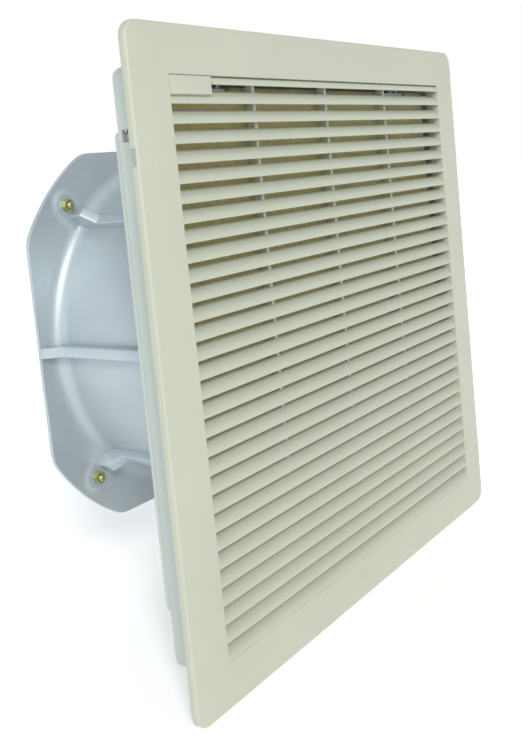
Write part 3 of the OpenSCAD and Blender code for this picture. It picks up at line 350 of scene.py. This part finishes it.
def louvreBlades(p, front):
    # Front curve y = depth t t, z = rise t; back curve one wall along its normal; both corners of the lip are arcs.
    k = np.arange(p["rows"])[:, None]
    last = np.where(k == 0, p["topBand"] / p["rise"], 1.0)
    t = 0.055 + (last - 0.055) * np.linspace(0, 1, 14)[None]
    nY, nZ = p["rise"] + 0 * t, -2 * p["depth"] * t
    size = np.hypot(nY, nZ)
    y, z = p["depth"] * t * t, p["rise"] * t
    a = np.linspace(0, np.pi / 2, 5)[None] + 0 * k
    lip, wall = p["lip"], p["wall"]
    depth = np.concatenate([
        y, (y + wall * nY / size)[:, ::-1],
        wall - lip + lip * np.cos(a), lip - lip * np.sin(a),
    ], axis=1)
    rise = np.concatenate([
        z, (z + wall * nZ / size)[:, ::-1],
        lip - lip * np.sin(a), lip - lip * np.cos(a),
    ], axis=1)
    low = np.where(k == 0, p["topFrom"], -p["half"])[..., None]
    x = low + (p["half"] - low) * np.linspace(0, 1, 5)[None, :, None]
    lips = (p["firstLip"] - p["pitch"] * k)[..., None]
    shape = np.broadcast_arrays(x, front + depth[:, None], lips + rise[:, None])
    return surface(np.stack(shape, axis=-1), wrapCols=True, caps=True)


def tieRibs(p, low, high):
    # A bar whose half width grows by flare * exp(-gap / flareFall) just under each blade
    z = np.linspace(low, high, p["ribSteps"])[:, None]
    under = (p["firstLip"] + p["underLip"] - z) % p["pitch"]
    half = p["ribHalf"] + p["flare"] * np.exp(-under / p["flareFall"])
    thick = p["ribBack"] - p["ribFront"]
    corner = np.array([(-1, 0.25), (-0.8, 0), (0.8, 0), (1, 0.25), (1, thick), (-1, thick)])
    x = half * corner[None, :, 0]
    y = p["ribFront"] + corner[None, :, 1] + 0 * z
    ribs = np.array(p["ribs"])[:, None, None]
    return surface(np.stack(np.broadcast_arrays(ribs + x, y, z), axis=-1), wrapCols=True, caps=True)


knuckle = {"bore": 0.8, "radius": 1.9, "half": 5.0, "round": 0.3}


def hingeKnuckles(c, k):
    # Turned about a line along X: bore, radius, rounded ends, and the same back again
    a = np.linspace(0, np.pi / 2, 4)
    e = k["round"]
    r = np.r_[k["bore"], k["radius"] - e * (1 - np.sin(a)), k["radius"] - e * (1 - np.sin(a[::-1])), k["bore"]]
    x = np.r_[-k["half"], -k["half"] + e * (1 - np.cos(a)), k["half"] - e * (1 - np.cos(a[::-1])), k["half"]]
    t = np.linspace(0, 2 * np.pi, 32, endpoint=False)
    side = np.array([-c["hinge"], c["hinge"]])[:, None, None]
    points = np.stack(np.broadcast_arrays(
        side + x[:, None], c["hingeDepth"] + r[:, None] * np.cos(t), c["hingeHeight"] + r[:, None] * np.sin(t)
    ), axis=-1)
    return surface(points, wrapRows=True, wrapCols=True)


plateShelf = {"low": (-137.9, -4.35, 128.9), "high": (-106.9, -1.6, 139.2), "round": 0.3}
windowLow, windowHigh = cover["window"][2:]
makePiece("coverShell", [coverShell(cover), hingeKnuckles(cover, knuckle)], "cover", "coverPlastic", ("front_cover",))
makePiece(
    "louvreGrille",
    [louvreBlades(louvre, cover["front"]), tieRibs(louvre, windowLow - 1, windowHigh + 1),
     roundedBox(plateShelf["low"], plateShelf["high"], plateShelf["round"])],
    "cover", "coverPlastic",
)
plate = {"low": (-136.7, -6.2, 129.3), "high": (-107.3, -4.4, 138.0), "round": 0.35}
makePiece("blankPlate", [roundedBox(plate["low"], plate["high"], plate["round"])], "cover", "coverPlastic",
          ("blank_plate",))
print("cover made")


# fan drum
drum = {
    "inner": 96.1, "outer": 98.5, "front": 23.8, "fillet": 9.0, "flangeFront": 133.8, "flangeBack": 136.2,
    "half": 112.5, "cut": 129.5, "cornerRound": 20.0, "round": 0.3, "boltRing": 116.7,
}


def flangeOutline(d, angle):
    # Folded to 0 to 45 degrees: the side half / cos a, then a corner circle of radius p touching it and the round
    # cut from within, c cos(a - f) + sqrt(p p - c c sin(a - f)^2) with c = cut - p, then the cut itself.
    a = np.abs(np.mod(angle + np.pi / 4, np.pi / 2) - np.pi / 4)
    c = d["cut"] - d["cornerRound"]
    f = np.arccos((d["half"] - d["cornerRound"]) / c)
    begin = np.arctan2(c * np.sin(f), d["half"])
    off = np.clip(a, begin, f) - f
    corner = c * np.cos(off) + np.sqrt(d["cornerRound"] ** 2 - (c * np.sin(off)) ** 2)
    return np.where(a < begin, d["half"] / np.cos(a), np.where(a < f, corner, d["cut"]))


def drumShell(d):
    # Rows of radius, share and depth; a share of 1 carries the row out to the flange's outline
    e = d["round"]
    a = np.linspace(0, np.pi / 2, 13)
    s = np.linspace(0, np.pi / 2, 5)
    centre, at = d["outer"] + d["fillet"], d["flangeFront"] - d["fillet"]
    wall = d["outer"] - d["inner"]
    rows = [(d["outer"] - e + e * np.sin(t), 0, d["front"] + e - e * np.cos(t)) for t in s]
    rows += [(d["outer"], 0, y) for y in np.linspace(d["front"] + 1, at - 0.2, 12)]
    rows += [(centre - d["fillet"] * np.cos(t), 0, at + d["fillet"] * np.sin(t)) for t in a]
    rows += [(centre, w, d["flangeFront"]) for w in (0.02, 0.5, 0.98)]
    rows += [(centre - (e - e * np.sin(t)), 1, d["flangeFront"] + e - e * np.cos(t)) for t in s]
    rows += [(centre - (e - e * np.cos(t)), 1, d["flangeBack"] - e + e * np.sin(t)) for t in s]
    rows += [(centre, w, d["flangeBack"]) for w in (0.98, 0.5, 0.02)]
    rows += [(centre - (d["fillet"] + wall) * np.cos(t), 0, at + (d["fillet"] + wall) * np.sin(t)) for t in a[::-1]]
    rows += [(d["inner"], 0, y) for y in np.linspace(at - 0.2, d["front"] + 1, 10)]
    rows += [(d["inner"] + e - e * np.cos(t), 0, d["front"] + e - e * np.sin(t)) for t in s]
    radius, share, depth = np.array(rows).T[..., None]
    fine = np.add.outer([0, 90, 180, 270], [*np.arange(26, 34, 0.5), *np.arange(56, 64, 0.5)]).ravel()
    angle = np.radians(np.unique(np.r_[np.arange(0, 360, 1.5), fine]))[None]
    r = radius + share * (flangeOutline(d, angle) - centre)
    points = np.stack([r * np.cos(angle), depth + 0 * angle, r * np.sin(angle)], axis=-1)
    return surface(points, wrapRows=True, wrapCols=True)


pad = {"top": 7.0, "slope": 3.0, "height": 1.6, "from": 101.7, "crest": 0.45, "foot": 0.6}


def boltPads(p, d):
    # Outlines straight out from the fillet, round the bolt and straight back; they widen as they fall to the flange
    radius = p["top"] + np.array([-p["crest"], -0.4 * p["crest"], 0.4 * p["crest"], p["slope"] - p["foot"],
                                  p["slope"], p["slope"] + p["foot"], p["slope"] + p["foot"]])
    slope = p["height"] / p["slope"]
    drop = np.array([0, 0.03, 0.6 * p["crest"] * slope + 0.08, p["height"] - 0.8 * p["foot"] * slope,
                     p["height"] - 0.06, p["height"], p["height"] + 0.5])
    turn = np.linspace(-np.pi / 2, np.pi / 2, 33)
    straight = np.linspace(p["from"], d["boltRing"], 6)[:-1]
    out = np.r_[straight, d["boltRing"] + 0 * turn, straight[::-1]]
    outR = np.r_[0 * straight, np.cos(turn), 0 * straight]
    outA = np.r_[-1 + 0 * straight, np.sin(turn), 1 + 0 * straight]
    r = radius[:, None]
    y = d["flangeFront"] - p["height"] + drop[:, None]
    points = np.stack([out + r * outR, y + 0 * out, r * outA], axis=-1)
    return surface(turnedAbout(points, (45, 135, 225, 315)), wrapCols=True, caps=True)


frontRing = {"inner": 98.55, "outer": 109.0, "front": 23.8, "back": 26.2, "round": 0.4}


def drumFrontRing(g):
    # A rectangular section with arcs of the rounding at its corners
    a = np.linspace(0, np.pi / 2, 4)
    e = g["round"]
    radius = np.r_[g["outer"] - e + e * np.sin(a), g["outer"] - e + e * np.cos(a),
                   g["inner"] + e - e * np.sin(a), g["inner"] + e - e * np.cos(a)]
    depth = np.r_[g["front"] + e - e * np.cos(a), g["back"] - e + e * np.sin(a),
                  g["back"] - e + e * np.cos(a), g["front"] + e - e * np.sin(a)]
    return surface(turnedRows(radius, depth), wrapRows=True, wrapCols=True)


gusset = {
    "outline": [(97.3, 26.25), (103.0, 26.25), (103.0, 116.8), (110.5, 124.3), (110.5, 135.0), (97.3, 133.8)],
    "width": 6.5, "round": 0.8,
}


def gussetColumns(g):
    # Slices across the column; each is the side outline moved in by round (1 - sin a) along its corners' bisectors
    outline = np.array(g["outline"])
    edge = np.roll(outline, -1, axis=0) - outline
    normal = np.stack([-edge[:, 1], edge[:, 0]], axis=-1) / np.linalg.norm(edge, axis=1)[:, None]
    before = np.roll(normal, 1, axis=0)
    miter = (normal + before) / (1 + (normal * before).sum(axis=1))[:, None]
    a = np.linspace(0, np.pi / 2, 5)
    inset = g["round"] * np.r_[1 - np.sin(a), 1 - np.sin(a[::-1])]
    side = np.r_[-g["width"] / 2 + g["round"] * (1 - np.cos(a)), g["width"] / 2 - g["round"] * (1 - np.cos(a[::-1]))]
    flat = outline[None] + inset[:, None, None] * miter[None]
    points = np.stack([flat[..., 0], flat[..., 1], side[:, None] + 0 * flat[..., 0]], axis=-1)
    return surface(turnedAbout(points, (45, 135, 225, 315)), wrapCols=True, caps=True)


makePiece("fanDrum", [drumShell(drum)], "housing", "drumMetal", ("fan_drum",))
makePiece("boltPads", [boltPads(pad, drum)], "housing", "drumMetal", sharp=50)
makePiece("gussetColumns", [gussetColumns(gusset)], "housing", "drumMetal")
makePiece("drumFrontRing", [drumFrontRing(frontRing)], "housing", "drumMetal", ("drum_front_ring",))
softened("cable_duct", "housing", "drumMetal", 0.25)
print("drum made")


# nuts and bolts of the flange
nut = {"across": 7.0, "height": 3.2, "bore": 2.05, "seat": 132.2, "washer": 0.0, "washerHeight": 0.0}
bolt = {
    "radius": 2.0, "pitch": 0.7, "thread": 0.22, "from": 127.2, "to": 140.2, "across": 7.0, "head": 138.2,
    "headHeight": 2.8, "washer": 4.5, "washerHeight": 0.8,
}


def hexRows(n, seat, height, hole, sign):
    # Hexagon radius across / 2 / cos(a mod 60 - 30); its end is cut by a cone falling 30 degrees beyond the flats
    a = np.linspace(0, 2 * np.pi, 72, endpoint=False)[None]
    hexagon = n["across"] / 2 / np.cos(np.mod(a, np.pi / 3) - np.pi / 6)
    hexagon = np.minimum(hexagon, 1.125 * n["across"] / 2)
    flat = 0.95 * n["across"] / 2
    top = height - np.maximum(0, hexagon - flat) * np.tan(np.radians(30))
    w, wh = n["washer"], n["washerHeight"]
    radius, rise = [hole + 0 * a], [0 * a]
    if w:
        radius += [w - 0.2 + 0 * a, w + 0 * a, w + 0 * a, w - 0.2 + 0 * a, hexagon + 0.2]
        rise += [0 * a, 0.2 + 0 * a, 0.7 * wh + 0 * a, 0.9 * wh + 0 * a, wh + 0 * a]
    radius += [hexagon - 0.15, hexagon, hexagon, flat + 0 * a, hole + 0.3 + 0 * a, hole + 0 * a]
    rise += [wh + 0 * a, wh + 0.15 + 0 * a, top, height + 0 * a, height + 0 * a, height - 0.3 + 0 * a]
    r, y = np.concatenate(radius), seat + sign * np.concatenate(rise)
    return np.stack([r * np.cos(a), y, r * np.sin(a)], axis=-1)


def threadRows(b):
    # radius - thread * triangle(y / pitch - a / full turn), tapered off at the free end
    a = np.linspace(0, 2 * np.pi, 36, endpoint=False)[None]
    y = np.arange(b["from"], b["to"], b["pitch"] / 6)[:, None]
    wave = np.abs(2 * np.mod(y / b["pitch"] - a / (2 * np.pi), 1) - 1)
    free = np.clip((b["from"] + 0.7 - y) / 0.7, 0, 1)
    r = b["radius"] - b["thread"] * np.maximum(wave, free) - 0.35 * free
    rod = np.stack([r * np.cos(a), y + 0 * a, r * np.sin(a)], axis=-1)
    tip = np.stack([0 * a, b["from"] + 0 * a, 0 * a], axis=-1)
    end = np.stack([0 * a, y[-1] + 0 * a, 0 * a], axis=-1)
    return np.concatenate([tip, rod, end])


def atFlangeBolts(points, ring):
    return turnedAbout(points + np.array([ring, 0, 0]), (45, 135, 225, 315))


makePiece("flangeNuts", [surface(atFlangeBolts(hexRows(nut, nut["seat"], nut["height"], nut["bore"], -1),
                                               drum["boltRing"]), wrapRows=True, wrapCols=True)],
          "housing", "yellowZinc", ("flange_nuts",), sharp=25)
makePiece("flangeBolts", [
    surface(atFlangeBolts(threadRows(bolt), drum["boltRing"]), wrapCols=True),
    surface(atFlangeBolts(hexRows(bolt, bolt["head"], bolt["headHeight"], 0.5, 1), drum["boltRing"]),
            wrapRows=True, wrapCols=True),
], "housing", "yellowZinc", ("flange_bolts",), sharp=25)
print("fasteners made")


# impeller
impeller = {
    "bandIn": 46.05, "bandOut": 48.65, "bandFrom": 77.0, "bandTo": 121.0, "mid": 99.0, "root": 47.35, "tip": 94.0,
    "rootAngle": 38.0, "tipAngle": 25.0, "rootChord": 50.0, "tipChord": 66.0, "bow": 0.09, "sweep": 16.0,
    "thick": 2.0, "blades": 7, "bandRound": 0.5,
}


def impellerBlades(p):
    # s runs from root to tip, c from -0.5 to 0.5 along the chord. Chord and angle change evenly with s, the mid line
    # bows by bow * chord (1 - 4 c c), the blade sweeps by sweep * s s, and half its thickness is
    # thick / 2 * sqrt(1 - (2 c)^4), thicker at the root.
    s = np.linspace(0, 1, 26)[:, None]
    lap = np.linspace(0, 2 * np.pi, 64, endpoint=False)[None]
    c = 0.5 * np.cos(lap)
    side = np.sign(np.sin(lap) + 1e-12)
    r = p["root"] + s * (p["tip"] - p["root"])
    chord = p["rootChord"] + s * (p["tipChord"] - p["rootChord"])
    angle = np.radians(p["rootAngle"] + s * (p["tipAngle"] - p["rootAngle"]))
    skin = side * p["thick"] / 2 * np.sqrt(np.maximum(0, 1 - (2 * c) ** 4)) * (1 + 1.2 * np.exp(-s * 22))
    along, off = chord * c, p["bow"] * chord * (1 - 4 * c * c) + skin
    turn = np.radians(p["sweep"]) * s * s + (along * np.cos(angle) - off * np.sin(angle)) / r
    y = p["mid"] + along * np.sin(angle) + off * np.cos(angle)
    points = np.stack([r * np.cos(turn), y, r * np.sin(turn)], axis=-1)
    return surface(turnedAbout(points, np.arange(p["blades"]) * 360 / p["blades"]), wrapCols=True, caps=True)


def impellerBand(p):
    # A thin section with rounded ends turned about the axis
    e = p["bandRound"]
    radius = [p["bandIn"] + e, p["bandOut"] - e, p["bandOut"] - 0.15, p["bandOut"], p["bandOut"],
              p["bandOut"] - 0.15, p["bandOut"] - e, p["bandIn"] + e, p["bandIn"] + 0.02, p["bandIn"] + 0.02]
    depth = [p["bandFrom"], p["bandFrom"], p["bandFrom"] + 0.15, p["bandFrom"] + e, p["bandTo"] - e,
             p["bandTo"] - 0.15, p["bandTo"], p["bandTo"], p["bandTo"] - e, p["bandFrom"] + e]
    return surface(turnedRows(radius, depth), wrapRows=True, wrapCols=True)


makePiece("impellerBlades", [impellerBlades(impeller), impellerBand(impeller)], "rotor", "impellerPlastic",
          ("impeller",))


# guard rings
guard = {"first": 58.0, "step": 7.98, "count": 6, "wire": 1.2, "depth": 139.4}


def guardWires(g):
    # ring radius + wire cos b, depth + wire sin b, for rings a step apart
    a = np.linspace(0, 2 * np.pi, 144, endpoint=False)[None, :, None]
    b = np.linspace(0, 2 * np.pi, 14, endpoint=False)[None, None]
    ring = (g["first"] + g["step"] * np.arange(g["count"]))[:, None, None]
    r = ring + g["wire"] * np.cos(b)
    points = np.stack(np.broadcast_arrays(r * np.cos(a), g["depth"] + g["wire"] * np.sin(b), r * np.sin(a)), axis=-1)
    return surface(points, wrapRows=True, wrapCols=True)


makePiece("guardWires", [guardWires(guard)], "housing", "guardWire", ("guard_rings",))
softened("motor_bracket", "housing", "guardWire", 0.35)
softened("motor_base", "housing", "drumMetal", 0.4)
softened("rotor_can", "rotor", "rotorPaint", 0.4)
print("impeller and motor made")


# filter mat
mat = {
    "halfX": 136.0, "halfZ": 136.0, "front": 4.6, "back": 18.6, "edge": 4.0, "fluff": 0.35,
    "pocketZ": 131.7, "pocketAt": 95.0, "pocketHalf": 14.5, "ramp": 3.0,
}


def fleeceMat(m):
    # Front and back are grids; y falls off to the middle plane within edge of the rim as a quarter ellipse,
    # and the faces carry low waves (three sines) of the fleece. It is lower beside the latch pockets.
    u = np.linspace(-1, 1, 161)
    x, share = np.meshgrid(np.sign(u) * np.abs(u) ** 0.8 * m["halfX"], np.sign(u) * np.abs(u) ** 0.8)
    beside = np.abs(np.abs(x) - m["pocketAt"]) - m["pocketHalf"]
    reach = m["pocketZ"] + (m["halfZ"] - m["pocketZ"]) * np.clip(beside / m["ramp"], 0, 1)
    z = share * reach
    gap = np.minimum(m["halfX"] - np.abs(x), reach - np.abs(z))
    full = np.sqrt(np.clip(1 - (1 - np.clip(gap / m["edge"], 0, 1)) ** 2, 0, 1))
    wave = np.sin(x * 0.31 + z * 0.17) + np.sin(z * 0.43 - x * 0.11) + np.sin(x * 0.9 + 1.3) * np.sin(z * 0.8)
    half = (m["back"] - m["front"]) / 2 - 0.1
    middle = (m["back"] + m["front"]) / 2
    swell = half * full - m["fluff"] * full * (1 + wave / 3) * 0.5
    front = np.stack([x, middle - swell, z], axis=-1)
    back = np.stack([x, middle + swell, z], axis=-1)
    return [surface(front), surface(back[:, ::-1])]


matPiece = makePiece("fleeceMat", fleeceMat(mat), "housing", "shadedFleece", ("filter_mat",), sharp=0)


# gasket
gasket = {"in": 146.5, "out": 153.5, "front": -2.2, "back": 0.0, "cornerIn": 6.0, "cornerOut": 9.5, "round": 0.5}


def gasketStrip(g):
    # A section with rounded corners carried round the rounded square
    a = np.linspace(0, np.pi / 2, 4)
    e = g["round"]
    half = np.r_[g["out"] - e + e * np.sin(a), g["out"] - e + e * np.cos(a),
                 g["in"] + e - e * np.sin(a), g["in"] + e - e * np.cos(a)]
    depth = np.r_[g["front"] + e - e * np.cos(a), g["back"] - e + e * np.sin(a),
                  g["back"] - e + e * np.cos(a), g["front"] + e - e * np.sin(a)]
    corner = g["cornerIn"] + (half - g["in"]) / (g["out"] - g["in"]) * (g["cornerOut"] - g["cornerIn"])
    rows = rimRows(-half, half, -half, half, corner, depth, stops=np.linspace(-130, 130, 27))
    return surface(rows, wrapRows=True, wrapCols=True)


makePiece("gasketStrip", [gasketStrip(gasket)], "housing", "foam", ("panel_gasket",))

# moulded body and the pieces whose CAD form is right, with their edges rounded
roundedNodes = {
    "base_frame": ("housing", "bodyPlastic", 0.35), "fan_plate": ("housing", "bodyPlastic", 0.35),
    "fan_plate_screws": ("housing", "brightSteel", 0.25), "drum_screws": ("housing", "brightSteel", 0.25),
    "motor_screws": ("housing", "brightSteel", 0.25), "lid_screws": ("housing", "brightSteel", 0.2),
    "terminal_box": ("housing", "darkMoulding", 0.4), "terminal_lid": ("housing", "darkMoulding", 0.4),
    "terminal_block": ("housing", "whitePlastic", 0.3), "run_capacitor": ("housing", "whitePlastic", 0.5),
    "cable_gland": ("housing", "darkMoulding", 0.25), "gland_nut": ("housing", "darkMoulding", 0.3),
    "latch_pins": ("housing", "brightSteel", 0.2), "hinge_pins": ("housing", "brightSteel", 0.15),
    "latch_top_left": ("latch_top_left", "bodyPlastic", 0.25),
    "latch_top_right": ("latch_top_right", "bodyPlastic", 0.25),
    "latch_bottom_left": ("latch_bottom_left", "bodyPlastic", 0.25),
    "latch_bottom_right": ("latch_bottom_right", "bodyPlastic", 0.25),
}
for node, (body, look, edge) in roundedNodes.items():
    softened(node, body, look, edge)
print("moulded pieces made,", len(roundedNodes))

# inner nodes keep their CAD form and get their finish
keptNodes = {
    "ball_bearings": "brightSteel", "motor_shaft": "brightSteel", "retaining_ring": "brightSteel",
    "stator_core": "lamination", "rotor_core": "lamination", "stator_winding": "copperWire",
}
for node, look in keptNodes.items():
    nodes[node].data.materials.clear()
    nodes[node].data.materials.append(finish[look])

# latch springs: copies of the CAD coil with their finish, each in place of its node
for node in ("top_left", "top_right", "bottom_left", "bottom_right"):
    coil = nodes["spring_" + node].data.copy()
    coil.name = "spring_" + node + "_coil"
    piece = finishPiece(coil.name, coil, "housing", "brightSteel", ("spring_" + node,), 0)
    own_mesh(piece)
print("springs made")

# floor and light
studio = {
    "floorHeight": -0.1615, "floorHalf": 40.0, "floorColour": (0.95, 0.95, 0.94), "floorGlow": 0.26,
    "backdropTo": (0.80, 0.60, 0.0), "backdrop": (1.0, 1.0, 1.0), "room": (0.58, 0.62, 0.66),
    "sunTo": (-0.58, -0.64, 0.50), "sunPower": 1.6, "sunAngle": 0.25, "sunColour": (1.0, 0.97, 0.88),
    "lamps": [
        ("keyLamp", (-0.85, -0.80, 0.30), (-0.05, 0.0, -0.02), 0.30, 1.6, (1.0, 0.97, 0.88)),
        ("sideLamp", (-2.2, 0.5, 0.5), (0.0, 0.05, 0.0), 1.2, 3.0, (0.82, 0.92, 1.0)),
    ],
}


def turnedTo(place, ahead):
    # a matrix whose -Z looks ahead, with X level
    ahead = np.array(ahead, float) / np.linalg.norm(ahead)
    right = np.cross(ahead, (0, 0, 1))
    right /= np.linalg.norm(right)
    axes = np.array([right, np.cross(right, ahead), -ahead]).T
    return Matrix([[*axes[i], place[i]] for i in range(3)] + [[0, 0, 0, 1]])


def makeWorld(s):
    # an even room, growing brighter toward the backdrop
    world = bpy.data.worlds.new("paleRoom")
    world.use_nodes = True
    tree = world.node_tree
    place = tree.nodes.new("ShaderNodeTexCoord")
    toward = tree.nodes.new("ShaderNodeVectorMath")
    toward.operation = "DOT_PRODUCT"
    toward.inputs[1].default_value = s["backdropTo"]
    tree.links.new(place.outputs["Generated"], toward.inputs[0])
    share = tree.nodes.new("ShaderNodeMapRange")
    share.inputs["From Min"].default_value = 0.55
    share.inputs["From Max"].default_value = 0.90
    tree.links.new(toward.outputs["Value"], share.inputs["Value"])
    colour = tree.nodes.new("ShaderNodeMix")
    colour.data_type = "RGBA"
    colour.inputs[6].default_value = (*s["room"], 1)
    colour.inputs[7].default_value = (*s["backdrop"], 1)
    tree.links.new(share.outputs["Result"], colour.inputs[0])
    tree.links.new(colour.outputs[2], tree.nodes["Background"].inputs["Color"])
    bpy.context.scene.world = world


def makeStudio(s):
    half, z = s["floorHalf"], s["floorHeight"]
    mesh = bpy.data.meshes.new("floor")
    mesh.from_pydata([(-half, -half, z), (half, -half, z), (half, half, z), (-half, half, z)], [], [(0, 1, 2, 3)])
    floor = bpy.data.objects.new("floor", mesh)
    bpy.context.scene.collection.objects.link(floor)
    material = bpy.data.materials.new("paleFloor")
    material.use_nodes = True
    shader = material.node_tree.nodes["Principled BSDF"]
    shader.inputs["Base Color"].default_value = (*s["floorColour"], 1)
    shader.inputs["Roughness"].default_value = 1.0
    shader.inputs["Specular IOR Level"].default_value = 0.0
    shader.inputs["Emission Color"].default_value = (1, 1, 1, 1)
    shader.inputs["Emission Strength"].default_value = s["floorGlow"]
    mesh.materials.append(material)
    sun = bpy.data.lights.new("sun", "SUN")
    sun.energy = s["sunPower"]
    sun.angle = s["sunAngle"]
    sun.color = s["sunColour"]
    sunLamp = bpy.data.objects.new("sun", sun)
    bpy.context.scene.collection.objects.link(sunLamp)
    sunLamp.matrix_world = turnedTo((0, 0, 2), -np.array(s["sunTo"]))
    for name, place, aim, size, power, tone in s["lamps"]:
        light = bpy.data.lights.new(name, "AREA")
        light.shape = "SQUARE"
        light.size = size
        light.energy = power
        light.color = tone
        lamp = bpy.data.objects.new(name, light)
        bpy.context.scene.collection.objects.link(lamp)
        lamp.matrix_world = turnedTo(place, np.array(aim) - np.array(place))


makeWorld(studio)
makeStudio(studio)
bpy.context.scene.view_settings.view_transform = "Standard"

print("scene made")
